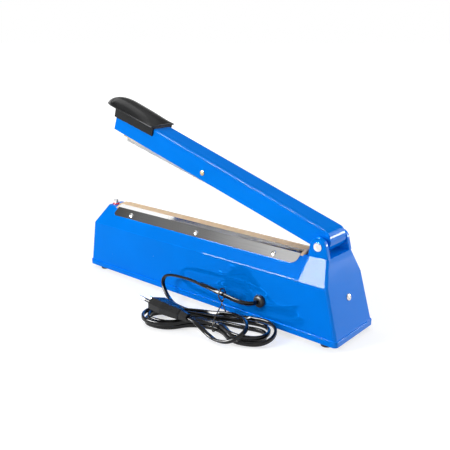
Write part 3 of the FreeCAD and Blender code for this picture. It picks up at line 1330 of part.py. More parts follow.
leadStart = glandFrame.multVec(Vector(0, 0, size("glandReach")))
leadWay = glandFrame.Rotation.multVec(Vector(0, 0, 1))
hankOuter = size("hankRadius")
foldAlong = -endArm - size("foldBack")
foldAcross = hankOuter - size("foldRadius")
foldOut = size("foldRadius") / math.cos(math.radians(22.5))
foldHeights = (13.0, 10.5, 7.0, lowLayer)
foldPoints = []
for step, height in enumerate(foldHeights):
    angle = math.radians(22.5 + 45 * step)
    foldPoints.append(hankPoint(
        foldAlong - foldOut * math.sin(angle), foldAcross - foldOut * math.cos(angle), height))
hankStart = hankPoint(foldAlong + size("foldRun"), hankOuter, lowLayer)
leadPoints = [leadStart, leadStart + leadWay * 6] + [Vector(*spot) for spot in (
    (-97.5, 57, 33.2), (-88, 61, 34.6), (-70, 61.5, 36.6), (-43, 60, 39.3), (-8, 56, 39.2), (16.9, 55, 37.8),
    (30, 55, 35.5), (37.5, 55.4, 31.2), (39.3, 56.6, 23.8), (34.5, 58.6, 16.3), (25, 62, 10), (12, 66, 6),
    (-3, 68, 4.9), (-16, 67.5, 4.5),
    (-32, 63, 4.5), (-50, 56, 4.9), (-69.5, 51.5, 7.2), (-91, 48.8, 11))] + foldPoints + [hankStart]
leadSolid, leadWire = route(leadPoints, cord, "cord_lead")
feature("cord_lead", leadSolid)

# Hank: half turns that draw in, climb a layer and spread again, tied at a bowed waist.
step = size("hankStep")
waistHalf = size("hankWaist")
waistStep = size("hankWaistStep")
bow = size("hankBow")
runs = [
    # side, first radius, last radius, first height, last height, half width at the waist
    (1, hankOuter, hankOuter - step, lowLayer, lowLayer, waistHalf),
    (-1, hankOuter - step, hankOuter - 2 * step, lowLayer, lowLayer, waistHalf - waistStep),
    (1, hankOuter - 2 * step, hankOuter - 2 * step, lowLayer, highLayer, waistHalf - waistStep),
    (-1, hankOuter - 2 * step, hankOuter - step, highLayer, highLayer, waistHalf - waistStep),
    (1, hankOuter - step, hankOuter, highLayer, highLayer, waistHalf),
    (-1, hankOuter, hankOuter, highLayer, highLayer, waistHalf),
]
hankEdges = []
for number, (side, first, last, low, high, waistOut) in enumerate(runs):
    way = alongHank * side
    begin = hankPoint(-side * endArm, side * first, low)
    end = hankPoint(side * endArm, side * last, high)
    across = side * waistOut - bow
    waist = hankPoint(0, across, (low + high) / 2)
    waistWay = (way * 2 * endArm + Vector(0, 0, 2 * (high - low))).normalize()
    if number == 0:
        begin = hankStart
        straight = begin + way * cord
        hankEdges.append(Part.LineSegment(begin, straight).toShape())
        begin = straight
    if number == len(runs) - 1:
        hankEnd = hankPoint(0, across, high)
        hankEdges += biarc(begin, way, hankEnd - way * cord, way)
        hankEdges.append(Part.LineSegment(hankEnd - way * cord, hankEnd).toShape())
        break
    hankEdges += biarc(begin, way, waist, waistWay)
    hankEdges += biarc(waist, waistWay, end, way)
    tip = hankPoint(side * (endArm + last), 0, high)
    over = hankPoint(side * endArm, -side * last, high)
    hankEdges.append(Part.Arc(end, tip, over).toShape())
hankSolid, hankWire, hankShare = pipe(hankEdges, cord / 2)
print("hank gap", round(leastGap(hankWire, cord, 6 * cord), 3), "length", round(hankWire.Length, 1), "share",
      round(hankShare, 4))
feature("cord_hank", hankSolid)

plugRear = Vector(-50, 104.5, 18.2)
plugWay = Vector(45.3, 4.5, 7).normalize()
tailPoints = [hankEnd, hankEnd - alongHank * 8] + [Vector(*spot) for spot in (
    (-77, 57.8, 15), (-95, 61.5, 15.8), (-109.5, 71, 16.3), (-118, 84, 16.6), (-117.5, 97, 12.4),
    (-107.5, 103.5, 6.2),
    (-93, 104.5, 3.4), (-79, 102.2, 5), (-68, 102.6, 11))] + [plugRear - plugWay * 9, plugRear]
tailSolid, tailWire = route(tailPoints, cord, "cord_tail")
feature("cord_tail", tailSolid)

# Plug: six-sided body that narrows to the cord, two pins with insulated roots.
plugTurn = Rotation(Vector(0, 0, 1), plugWay)
flat = plugTurn.multVec(Vector(0, 1, 0))
levelWay = Vector(0, 0, 1).cross(plugWay).normalize()
plugSpin = Rotation(plugWay, math.degrees(math.atan2(plugWay.dot(flat.cross(levelWay)), flat.dot(levelWay))) + 22)
plugFrame = Placement(plugRear, plugSpin.multiply(plugTurn))


def plugSection(height, width, thick):
    nose = f"0.3 * ({thick})"
    return corners(drawing("XY_Plane", height), [
        (f"-({thick}) / 2", f"-({width}) / 2 + {nose}"), (0, f"-({width}) / 2"),
        (f"({thick}) / 2", f"-({width}) / 2 + {nose}"),
        (f"({thick}) / 2", f"({width}) / 2 - {nose}"), (0, f"({width}) / 2"),
        (f"-({thick}) / 2", f"({width}) / 2 - {nose}")])


plugMiddle = "plugNeck + 0.55 * plugLength"
plugEnd = "plugNeck + plugLength"
neck = lofted(plugSection(0, "0.72 * plugRearWidth", "0.8 * plugRearThick"),
              plugSection("plugNeck", "plugRearWidth", "plugRearThick"))
shell = lofted(plugSection("plugNeck", "1.15 * plugRearWidth", "1.1 * plugRearThick"),
               plugSection(plugMiddle, "plugWidth", "plugThick"),
               plugSection(plugEnd, "plugWidth", "plugThick"))
plugPins = [f"{side} * plugPinPitch / 2" for side in (-1, 1)]
plugBores = [rod("plugPinRadius + holeGap", 12, 0, y, f"{plugEnd} - 8") for y in plugPins]
keep("plug_body", minus(plus(neck, shell), *plugBores), plugFrame)
pinRods = [rod("plugPinRadius - 0.3", "plugPinLength + 7.5", 0, y, f"{plugEnd} - 7.5") for y in plugPins]
pinTips = [
    rod("plugPinRadius", "plugPinLength - plugSleeve", 0, y, f"{plugEnd} + plugSleeve") for y in plugPins
]
keep("plug_pins", together([plus(core, tip) for core, tip in zip(pinRods, pinTips)]), plugFrame)
sleeves = [
    minus(rod("plugPinRadius", "plugSleeve + 7.5", 0, y, f"{plugEnd} - 7.5"),
          rod("plugPinRadius - 0.3", 60, 0, y, 0))
    for y in plugPins
]
keep("plug_sleeves", together(sleeves), plugFrame)

# Tie: a thin wire from the lead round the waist and back.
tieSpots = [
    (-27.2, 42), (-27.6, 34), (-32.5, 21), (-35.8, 9), (-34.5, 2.4), (-29, 0.7), (-14, 0.61), (2.4, 0.7),
    (5.5, 3.2), (5.6, 8), (2.8, 14), (-7, 19), (-16, 27.5), (-19.8, 35), (-19.9, 42),
]
tiePoints = [hankPoint(-10.5, across, height) for across, height in tieSpots]
tieSolid, tieWire = route(tiePoints, 2 * size("tieRadius"), "twist_tie")
feature("twist_tie", tieSolid)

# Check and write every piece.

doc.recompute()
for thing in doc.Objects:
    if any(state in thing.State for state in ("Invalid", "Error")):
        raise RuntimeError(f"{thing.Label} ({thing.Name}) could not be built: {thing.State}")
for thing in nodes:
    if thing.Shape.isNull() or not thing.Shape.isValid() or not thing.Shape.Solids:
        raise RuntimeError(f"{thing.Label} has no valid solid")
os.makedirs("parts", exist_ok=True)
for thing in nodes:
    thing.Shape.exportStep(f"parts/{thing.Label}.step")
print(len(nodes), "pieces written")
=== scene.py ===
import json
import math

import bmesh
import bpy
import numpy as np
from mathutils import Matrix, Vector


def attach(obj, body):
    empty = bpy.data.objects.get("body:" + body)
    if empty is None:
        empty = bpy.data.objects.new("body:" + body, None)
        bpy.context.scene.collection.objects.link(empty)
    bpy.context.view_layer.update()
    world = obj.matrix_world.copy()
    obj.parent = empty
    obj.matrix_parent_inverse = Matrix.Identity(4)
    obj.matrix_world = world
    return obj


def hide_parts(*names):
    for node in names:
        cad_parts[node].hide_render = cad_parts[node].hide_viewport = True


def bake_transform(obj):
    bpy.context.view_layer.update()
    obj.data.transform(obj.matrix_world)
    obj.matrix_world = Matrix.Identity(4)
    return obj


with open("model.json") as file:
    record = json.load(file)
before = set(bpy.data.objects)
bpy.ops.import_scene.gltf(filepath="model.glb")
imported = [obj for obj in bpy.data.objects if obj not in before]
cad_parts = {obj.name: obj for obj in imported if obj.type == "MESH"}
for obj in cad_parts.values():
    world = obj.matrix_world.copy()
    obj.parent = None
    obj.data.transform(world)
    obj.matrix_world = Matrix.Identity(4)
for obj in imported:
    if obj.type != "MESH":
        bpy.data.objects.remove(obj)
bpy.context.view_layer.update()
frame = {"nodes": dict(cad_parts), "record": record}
nodes = frame["nodes"]
scene = bpy.context.scene
scene.view_settings.view_transform = "Standard"
perMetre = 1000  # the pieces are written in millimetres, and the scene is in metres
print("frame loaded,", len(nodes), "nodes")


def addObject(name, data):
    thing = bpy.data.objects.new(name, data)
    scene.collection.objects.link(thing)
    return thing


def addMesh(name, points, faces, smooth=True):
    mesh = bpy.data.meshes.new(name)
    mesh.from_pydata([tuple(point) for point in points], [], faces)
    if smooth:
        mesh.shade_smooth()
    mesh.validate()
    return addObject(name, mesh)


def standOn(right, up):
    # the turn that brings the first two axes to these
    return Matrix((right, up, right.cross(up))).transposed().to_4x4()


# camera where the photograph was taken from
cameraView = {
    "place": (-0.5061, 0.5779, 0.32609),
    "right": (-0.7630, -0.6464, 0.0),
    "up": (0.18699, -0.22072, 0.95725),
    "lens": 50.76,
    "sensor": 36,
    "clip": (0.01, 20),
}


def setCamera():
    data = bpy.data.cameras.new("camera")
    data.lens = cameraView["lens"]
    data.sensor_width = cameraView["sensor"]
    data.clip_start, data.clip_end = cameraView["clip"]
    turn = standOn(Vector(cameraView["right"]).normalized(), Vector(cameraView["up"]).normalized())
    camera = addObject("camera", data)
    camera.matrix_world = Matrix.Translation(cameraView["place"]) @ turn
    scene.camera = camera


setCamera()

# cord: the same route as the solids, as one spline
cordRoute = {
    "exit": (-102.0, 43.77, 32.18),
    "leave": (-102.0, 49.77, 32.39),
    "lead": [
        (-97.5, 57, 33.2), (-88, 61, 34.6), (-70, 61.5, 36.6), (-43, 60, 39.3), (-8, 56, 39.2),
        (16.9, 55, 37.8), (30, 55, 35.5), (37.5, 55.4, 31.2), (39.3, 56.6, 23.8), (34.5, 58.6, 16.3),
        (25, 62, 10), (12, 66, 6), (-3, 68, 4.9), (-16, 67.5, 4.5), (-32, 63, 4.5), (-50, 56, 4.9),
        (-69.5, 51.5, 7.2), (-91, 48.8, 11),
    ],
    "foldRadius": 22.5, "foldAlong": -59.5, "foldAcross": -0.5, "foldHeights": (13.0, 10.5, 7.0, 3.9),
    "tail": [
        (-77, 57.8, 15), (-95, 61.5, 15.8), (-109.5, 71, 16.3), (-118, 84, 16.6), (-117.5, 97, 12.4),
        (-107.5, 103.5, 6.2), (-93, 104.5, 3.4), (-79, 102.2, 5), (-68, 102.6, 11),
    ],
    "plugRear": (-50, 104.5, 18.2), "plugWay": (45.3, 4.5, 7), "plugStraight": 9,
    "width": 5.4, "thick": 3.4, "groove": 1.5,
    "coreSpan": 160, "coreStep": 20,  # degrees of each core that show, and of one facet
    "splineSteps": 8,
    "calm": 0.018,  # metres over which its turns are eased
    "length": 1.5,
}
hank = {
    "centre": (-61.5, 87, 0), "turn": 18.6, "endArm": 56.5, "bow": 14, "low": 3.9, "high": 9.5,
    "sway": 38, "waistRun": 18,
    "endPoints": 4,  # control points of a round end
    "climbs": (0.15, 0.35, 0.65, 0.85),  # share of a run's climb at its four points
    # side, first radius, last radius, first layer, last layer, half width at the waist
    "runs": [
        (1, 22, 18.5, 0, 0, 12.5), (-1, 18.5, 15, 0, 0, 3.5), (1, 15, 15, 0, 1, 3.5),
        (-1, 15, 18.5, 1, 1, 3.5), (1, 18.5, 22, 1, 1, 12.5), (-1, 22, 22, 1, 1, 12.5),
    ],
}
hankTurn = math.radians(hank["turn"])
alongHank = Vector((math.cos(hankTurn), math.sin(hankTurn), 0))
acrossHank = Vector((-math.sin(hankTurn), math.cos(hankTurn), 0))
endStep = 180 / hank["endPoints"]
cornerOut = 1 / math.cos(math.radians(endStep / 2))  # control points of a round end stand out by this


def hankPoint(along, across, height):
    return Vector(hank["centre"]) + alongHank * along + acrossHank * across + Vector((0, 0, height))


def halfTurn(along, across, radius, side, heights):
    reach = side * radius * cornerOut
    points = []
    for step, height in enumerate(heights):
        angle = math.radians(endStep * (step + 0.5))
        points.append(hankPoint(along + reach * math.sin(angle), across + reach * math.cos(angle), height))
    return points


def hankPoints():
    points = []
    rise = hank["high"] - hank["low"]
    enter, waistIn, waistOut, leave = hank["climbs"]
    for number, (side, first, last, lowLayer, highLayer, waist) in enumerate(hank["runs"]):
        across = side * waist - hank["bow"]
        low, high = hank["low"] + rise * lowLayer, hank["low"] + rise * highLayer
        climb = high - low
        points.append(hankPoint(-side * hank["sway"], side * first, low + enter * climb))
        points.append(hankPoint(-side * hank["waistRun"], across, low + waistIn * climb))
        if number == len(hank["runs"]) - 1:
            points.append(hankPoint(0, across, high))
            return points
        points.append(hankPoint(side * hank["waistRun"], across, low + waistOut * climb))
        points.append(hankPoint(side * hank["sway"], side * last, low + leave * climb))
        points += halfTurn(side * hank["endArm"], 0, last, side, [high] * hank["endPoints"])


def cordPoints():
    route = cordRoute
    fold = halfTurn(route["foldAlong"], route["foldAcross"], route["foldRadius"], -1, route["foldHeights"])
    rear, way = Vector(route["plugRear"]), Vector(route["plugWay"]).normalized()
    points = [Vector(spot) for spot in (route["exit"], route["leave"], *route["lead"])]
    points += fold + hankPoints() + [Vector(spot) for spot in route["tail"]]
    points += [rear - way * route["plugStraight"], rear]
    return [point / perMetre for point in points]


def stepLengths(line):
    return np.linalg.norm(np.diff(line, axis=0), axis=1)


def readSpline(name, points, steps, sameSpot=1e-6):
    curve = bpy.data.curves.new(name, "CURVE")
    curve.dimensions = "3D"
    spline = curve.splines.new("NURBS")
    spline.points.add(len(points) - 1)
    for knot, point in zip(spline.points, points):
        knot.co = (*point, 1)
    spline.order_u = 3
    spline.use_endpoint_u = True
    spline.resolution_u = steps
    thing = bpy.data.objects.new(name, curve)
    mesh = bpy.data.meshes.new_from_object(thing)
    line = np.array([vertex.co for vertex in mesh.vertices], float)
    bpy.data.meshes.remove(mesh)
    bpy.data.curves.remove(curve)
    keepers = np.concatenate([[True], stepLengths(line) > sameSpot])
    return line[keepers]


def unit(vectors):
    return vectors / np.linalg.norm(vectors, axis=-1, keepdims=True)


# how a flat strip turns about its line: a way to start from, how much a sharper bend counts,
# and a value that only keeps a straight stretch from dividing by nothing
flatTurn = {"start": (0.3, 0.2, 1.0), "weight": 0.5, "tiny": 1e-9}


def easyBend(line, calm):
    # a flat cord turns so that it bends over its flat side, and never suddenly
    way = unit(np.gradient(line, axis=0))
    side = [unit(np.cross(way[0], flatTurn["start"]))]
    for step in way[1:]:
        side.append(unit(side[-1] - step * np.dot(side[-1], step)))
    side = np.array(side)
    other = np.cross(way, side)
    along = np.concatenate([[0], np.cumsum(stepLengths(line))])
    over = np.cross(way, np.gradient(way, along, axis=0))
    want = np.sum(over * side, 1) + 1j * np.sum(over * other, 1)
    # squared, because a half turn makes no difference to a flat cord
    want = want ** 2 / (np.abs(want) ** (2 - flatTurn["weight"]) + flatTurn["tiny"])
    reach = np.abs(along[:, None] - along[None, :]) / calm
    share = np.exp(-reach ** 2)
    smooth = (share * np.gradient(along)[None, :]) @ want
    turn = np.unwrap(np.angle(smooth)) / 2
    wide = side * np.cos(turn)[:, None] + other * np.sin(turn)[:, None]
    return wide, np.cross(way, wide)


def sweep(name, line, section, calm):
    wide, thin = easyBend(line, calm)
    section = np.array(section, float)
    rings = line[:, None, :] + section[None, :, :1] * wide[:, None, :]
    rings = rings + section[None, :, 1:] * thin[:, None, :]
    count, around = len(line), len(section)
    faces = []
    for ring in range(count - 1):
        for spot in range(around):
            after = (spot + 1) % around
            faces.append((ring * around + spot, ring * around + after,
                          (ring + 1) * around + after, (ring + 1) * around + spot))
    faces.append(tuple(reversed(range(around))))
    faces.append(tuple(range((count - 1) * around, count * around)))
    thing = addMesh(name, rings.reshape(-1, 3), faces)
    shape = bmesh.new()
    shape.from_mesh(thing.data)
    bmesh.ops.recalc_face_normals(shape, faces=shape.faces)
    shape.to_mesh(thing.data)
    shape.free()
    return thing


def twinSection():
    # two cores side by side with a shallow groove between
    span, radius = cordRoute["coreSpan"], cordRoute["thick"] / 2
    half = cordRoute["width"] / 2 - radius
    points = []
    for side, start in ((1, -span / 2), (-1, 180 - span / 2)):
        for turn in range(0, span + 1, cordRoute["coreStep"]):
            angle = math.radians(start + turn)
            points.append((side * half + radius * math.cos(angle), radius * math.sin(angle)))
        points.append((0, side * cordRoute["groove"]))
    return [(x / perMetre, y / perMetre) for x, y in points]


cordLine = readSpline("route", cordPoints(), cordRoute["splineSteps"])
cordPiece = sweep("cord_flex", cordLine, twinSection(), cordRoute["calm"])
print("cord", round(float(np.sum(stepLengths(cordLine))), 3), "m,", len(cordLine), "rings")

# tie: thin strip with a wire in it, round the waist of the hank and over the lead
tieStrip = {
    "along": -10.5, "width": 1.9, "thick": 0.5, "wire": 1.0, "splineSteps": 8, "calm": 0.012,
    # share of the half width, and share of the half thickness of strip or wire there
    "outline": [(1, "thick", 0.6), (0.55, "thick", 1), (0.28, "wire", 0.85), (0, "wire", 1)],
    # along, across and height in the hank: over the lead, a twist below it, round the waist and back
    "spots": [
        (0, -23.4, 44.6), (-1.5, -26.7, 43.8), (-3, -28, 35.5), (-0.8, -23.6, 29), (1, -24, 25.5),
        (0.3, -29, 19), (0, -33.8, 12), (0, -35.8, 7.5), (0, -34.5, 2.4), (0, -29, 0.7), (0, -14, 0.61),
        (0, 2.4, 0.7), (0, 5.5, 3.2), (0, 5.6, 8), (0, 2.8, 14), (0, -6, 18.8), (-0.3, -15, 22.8),
        (-1, -22.2, 25.5), (0.8, -22.6, 29), (3, -19, 35.5), (1.5, -20.1, 43.8), (0, -23.2, 44.6),
    ],
}


def tieSection():
    halves = {kind: tieStrip[kind] / 2 / perMetre for kind in ("width", "thick", "wire")}
    upper = [(halves["width"] * reach, halves[kind] * rise) for reach, kind, rise in tieStrip["outline"]]
    upper += [(-x, y) for x, y in reversed(upper[:-1])]
    return upper + [(-x, -y) for x, y in upper]


tieSpots = [hankPoint(tieStrip["along"] + along, across, height) / perMetre
            for along, across, height in tieStrip["spots"]]
tieLine = readSpline("tie", tieSpots, tieStrip["splineSteps"])
tiePiece = sweep("tie_strip", tieLine, tieSection(), tieStrip["calm"])

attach(cordPiece, "base")
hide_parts("cord_lead", "cord_hank", "cord_tail")
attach(tiePiece, "base")
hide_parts("twist_tie")
print("cord and tie laid")

# short ways to add the nodes that most trees use


def feed(tree, socket, value):
    # joins another node's socket, or sets a plain value
    if isinstance(value, bpy.types.NodeSocket):
        tree.links.new(value, socket)
    else:
        socket.default_value = value


def mathNode(tree, operation, first, second):
    node = tree.nodes.new("ShaderNodeMath")
    node.operation = operation
    feed(tree, node.inputs[0], first)
    feed(tree, node.inputs[1], second)
    return node.outputs[0]


def noiseNode(tree, vector, scale, detail):
    node = tree.nodes.new("ShaderNodeTexNoise")
    for name, value in (("Vector", vector), ("Scale", scale), ("Detail", detail)):
        feed(tree, node.inputs[name], value)
    return node.outputs["Fac"]


def spreadNode(tree, value, span, result=(0, 1), curve="LINEAR"):
    node = tree.nodes.new("ShaderNodeMapRange")
    node.interpolation_type = curve
    for name, item in zip(("Value", "From Min", "From Max", "To Min", "To Max"), (value, *span, *result)):
        feed(tree, node.inputs[name], item)
    return node.outputs["Result"]


# white studio: bright floor and horizon, a dim ceiling band and soft boxes
studio = {
    "floorHalf": 40.0, "floorColour": (0.5, 0.505, 0.51, 1), "floorRough": 0.5, "white": (1, 1, 1, 1),
    # brightness of the floor near and far, and the distances between which it changes
    "floorGlow": (0.62, 1.0), "floorFade": (0.7, 1.7),
    # height of the direction, brightness of the room there
    "room": [
        (0.0, 0.9), (0.28, 0.85), (0.38, 0.14), (0.66, 0.1),
        (0.7, 0.22), (0.75, 0.24), (0.83, 0.75), (1.0, 0.85),
    ],
    "boxes": [
        # name, place, aim, width, height, power, seen in gloss only
        ("key", (0.417, 0.968, 0.556), (-0.17, 0.031, 0.082), 0.28, 0.28, 7.6, False),
        ("gloss", (0.467, 1.045, 0.596), (-0.17, 0.031, 0.082), 0.75, 0.6, 58.5, True),
        ("tail", (-1.15, -1.45, 0.3), (-0.18, 0.0, 0.12), 0.8, 0.3, 15.0, True),
        ("lip", (1.02, -0.32, 1.29), (0.0, 0.0, 0.09), 0.55, 1.1, 2.4, False),
        ("end", (-1.15, -1.2, 0.55), (-0.2, 0.0, 0.05), 0.9, 0.9, 13.0, False),
        ("fill", (-1.0, 1.1, 0.9), (0.0, 0.0, 0.1), 0.9, 0.9, 3.0, False),
        ("top", (0.0, 0.2, 1.8), (0.0, 0.0, 0.1), 1.0, 0.8, 1.8, False),
    ],
}


def seenRays(tree):
    # the floor glows where it is seen, straight or in gloss, and lights nothing itself
    path = tree.nodes.new("ShaderNodeLightPath")
    joined = path.outputs["Is Camera Ray"]
    for name in ("Is Glossy Ray", "Is Transmission Ray"):
        joined = mathNode(tree, "MAXIMUM", joined, path.outputs[name])
    return joined


def setFloor():
    half = studio["floorHalf"]
    corners = [(-half, -half, 0), (half, -half, 0), (half, half, 0), (-half, half, 0)]
    floor = addMesh("floor", corners, [(0, 1, 2, 3)], smooth=False)
    material = bpy.data.materials.new("floorPaper")
    material.use_nodes = True
    tree = material.node_tree
    shader = tree.nodes["Principled BSDF"]
    shader.inputs["Base Color"].default_value = studio["floorColour"]
    shader.inputs["Roughness"].default_value = studio["floorRough"]
    shader.inputs["Specular IOR Level"].default_value = 0.0
    shader.inputs["Emission Color"].default_value = studio["white"]
    far = tree.nodes.new("ShaderNodeVectorMath")
    far.operation = "LENGTH"
    tree.links.new(tree.nodes.new("ShaderNodeTexCoord").outputs["Object"], far.inputs[0])
    fade = spreadNode(tree, far.outputs["Value"], studio["floorFade"], studio["floorGlow"], "SMOOTHSTEP")
    glow = mathNode(tree, "MULTIPLY", seenRays(tree), fade)
    tree.links.new(glow, shader.inputs["Emission Strength"])
    floor.data.materials.append(material)


def setWorld():
    world = bpy.data.worlds.new("studio")
    scene.world = world
    world.use_nodes = True
    tree = world.node_tree
    tree.nodes.clear()
    out = tree.nodes.new("ShaderNodeOutputWorld")
    mix = tree.nodes.new("ShaderNodeMixShader")
    where = tree.nodes.new("ShaderNodeTexCoord")
    height = tree.nodes.new("ShaderNodeSeparateXYZ")
    ramp = tree.nodes.new("ShaderNodeValToRGB")
    stops = ramp.color_ramp.elements
    while len(stops) < len(studio["room"]):
        stops.new(0.5)  # moved to its own height below
    for stop, (position, level) in zip(stops, studio["room"]):
        stop.position = position
        stop.color = (level, level, level, 1)
    room = tree.nodes.new("ShaderNodeBackground")
    white = tree.nodes.new("ShaderNodeBackground")
    white.inputs["Color"].default_value = studio["white"]
    path = tree.nodes.new("ShaderNodeLightPath")
    tree.links.new(where.outputs["Generated"], height.inputs[0])
    tree.links.new(height.outputs["Z"], ramp.inputs[0])
    tree.links.new(ramp.outputs[0], room.inputs["Color"])
    tree.links.new(path.outputs["Is Camera Ray"], mix.inputs[0])
    tree.links.new(room.outputs[0], mix.inputs[1])
    tree.links.new(white.outputs[0], mix.inputs[2])
    tree.links.new(mix.outputs[0], out.inputs[0])


def setLights():
    for name, place, aim, width, height, power, glossOnly in studio["boxes"]:
        data = bpy.data.lights.new(name, "AREA")
        data.shape = "RECTANGLE"
        data.size, data.size_y, data.energy = width, height, power
        lamp = addObject(name, data)
        lamp.location = place
        lamp.rotation_mode = "QUATERNION"
        lamp.rotation_quaternion = (Vector(aim) - Vector(place)).to_track_quat("-Z", "Y")
        lamp.visible_diffuse = not glossOnly


setFloor()
setWorld()
setLights()
print("studio set")

# shared effects: grain and tone of moulded skins, drawn lines of sheet metal, threads of cloth, dust,
# and which way a face looks. Scales are in parts per metre, spreads are the part of a value that is used
effects = {
    "grain": {"scale": 900.0, "detail": 3.0},
    "tone": {"scale": 22.0, "detail": 2.0, "spread": (0.32, 0.68)},
    "lines": {"scale": 260.0, "detail": 4.0, "stretch": (0.03, 1.0, 1.0)},
    "wave": {"scale": 14.0, "detail": 1.0, "spread": (0.3, 0.7)},
    "threads": {"pitch": 0.0006},
    "stain": {"scale": 60.0, "detail": 3.0, "spread": (0.35, 0.65)},
    "dust": {"scale": 75.0, "speck": 0.018},
    "facing": {"Flank": (0.99, 0.998), "End": (0.9, 0.95), "Cut": (0.5, 0.7)},
}


def newGroup(name, inputs, outputs):
    group = bpy.data.node_groups.new(name, "ShaderNodeTree")
    for label, value in inputs:
        socket = group.interface.new_socket(label, in_out="INPUT", socket_type="NodeSocketFloat")
        socket.default_value = value
    for label in outputs:
        group.interface.new_socket(label, in_out="OUTPUT", socket_type="NodeSocketFloat")
    start = group.nodes.new("NodeGroupInput")
    end = group.nodes.new("NodeGroupOutput")
    return group, start, end


def mouldedSkin():
    grain, tone = effects["grain"], effects["tone"]
    inputs = [("Grain Scale", grain["scale"]), ("Tone Scale", tone["scale"])]
    group, start, end = newGroup("mouldedSkin", inputs, ["Grain", "Tone"])
    where = group.nodes.new("ShaderNodeTexCoord").outputs["Object"]
    fine = noiseNode(group, where, start.outputs["Grain Scale"], grain["detail"])
    group.links.new(fine, end.inputs["Grain"])
    broad = noiseNode(group, where, start.outputs["Tone Scale"], tone["detail"])
    group.links.new(spreadNode(group, broad, tone["spread"]), end.inputs["Tone"])
    return group


def drawnSheet():
    # lines run along the length of the part
    lines, wave = effects["lines"], effects["wave"]
    inputs = [("Line Scale", lines["scale"]), ("Wave Scale", wave["scale"])]
    group, start, end = newGroup("drawnSheet", inputs, ["Lines", "Wave"])
    where = group.nodes.new("ShaderNodeTexCoord").outputs["Object"]
    stretch = group.nodes.new("ShaderNodeMapping")
    stretch.inputs["Scale"].default_value = lines["stretch"]
    group.links.new(where, stretch.inputs["Vector"])
    fine = noiseNode(group, stretch.outputs[0], start.outputs["Line Scale"], lines["detail"])
    group.links.new(fine, end.inputs["Lines"])
    broad = noiseNode(group, where, start.outputs["Wave Scale"], wave["detail"])
    group.links.new(spreadNode(group, broad, wave["spread"]), end.inputs["Wave"])
    return group


def clothThreads():
    # plain weave on the piece's own map, which is in metres
    threads, stain = effects["threads"], effects["stain"]
    group, start, end = newGroup("clothThreads", [("Pitch", threads["pitch"])], ["Threads", "Tone"])
    where = group.nodes.new("ShaderNodeTexCoord").outputs["UV"]
    parts = group.nodes.new("ShaderNodeSeparateXYZ")
    group.links.new(where, parts.inputs[0])
    waves = []
    for axis in ("X", "Y"):
        turns = mathNode(group, "DIVIDE", parts.outputs[axis], start.outputs["Pitch"])
        waves.append(mathNode(group, "SINE", mathNode(group, "MULTIPLY", turns, math.pi), 0))
    crossing = mathNode(group, "MULTIPLY", waves[0], waves[1])
    group.links.new(mathNode(group, "ABSOLUTE", crossing, 0), end.inputs["Threads"])
    broad = noiseNode(group, where, stain["scale"], stain["detail"])
    group.links.new(spreadNode(group, broad, stain["spread"]), end.inputs["Tone"])
    return group


def dustSpecks():
    # few small pale specks
    dust = effects["dust"]
    inputs = [("Spacing Scale", dust["scale"]), ("Speck", dust["speck"])]
    group, start, end = newGroup("dustSpecks", inputs, ["Specks"])
    where = group.nodes.new("ShaderNodeTexCoord").outputs["Object"]
    cells = group.nodes.new("ShaderNodeTexVoronoi")
    group.links.new(where, cells.inputs["Vector"])
    group.links.new(start.outputs["Spacing Scale"], cells.inputs["Scale"])
    near = mathNode(group, "LESS_THAN", cells.outputs["Distance"], start.outputs["Speck"])
    group.links.new(near, end.inputs["Specks"])
    return group


def facingSides():
    # how far a face looks outwards to either flank, to the hinge end, or inwards as the cut edge of a plate
    inputs = []
    for name, (low, high) in effects["facing"].items():
        inputs += [(name + " From", low), (name + " To", high)]
    group, start, end = newGroup("facingSides", inputs, list(effects["facing"]))
    way = group.nodes.new("ShaderNodeSeparateXYZ")
    group.links.new(group.nodes.new("ShaderNodeNewGeometry").outputs["True Normal"], way.inputs[0])
    place = group.nodes.new("ShaderNodeSeparateXYZ")
    group.links.new(group.nodes.new("ShaderNodeTexCoord").outputs["Object"], place.inputs[0])
    side = mathNode(group, "SIGN", place.outputs["Y"], 0)
    outward = mathNode(group, "MULTIPLY", way.outputs["Y"], side)
    inward = mathNode(group, "MULTIPLY", outward, -1)
    hingeward = mathNode(group, "MULTIPLY", way.outputs["X"], -1)
    for name, value in (("Flank", outward), ("End", hingeward), ("Cut", inward)):
        span = start.outputs[name + " From"], start.outputs[name + " To"]
        group.links.new(spreadNode(group, value, span), end.inputs[name])
    return group


groups = {"skin": mouldedSkin(), "sheet": drawnSheet(), "cloth": clothThreads(), "dust": dustSpecks(),
          "facing": facingSides()}
print("shared effects made")

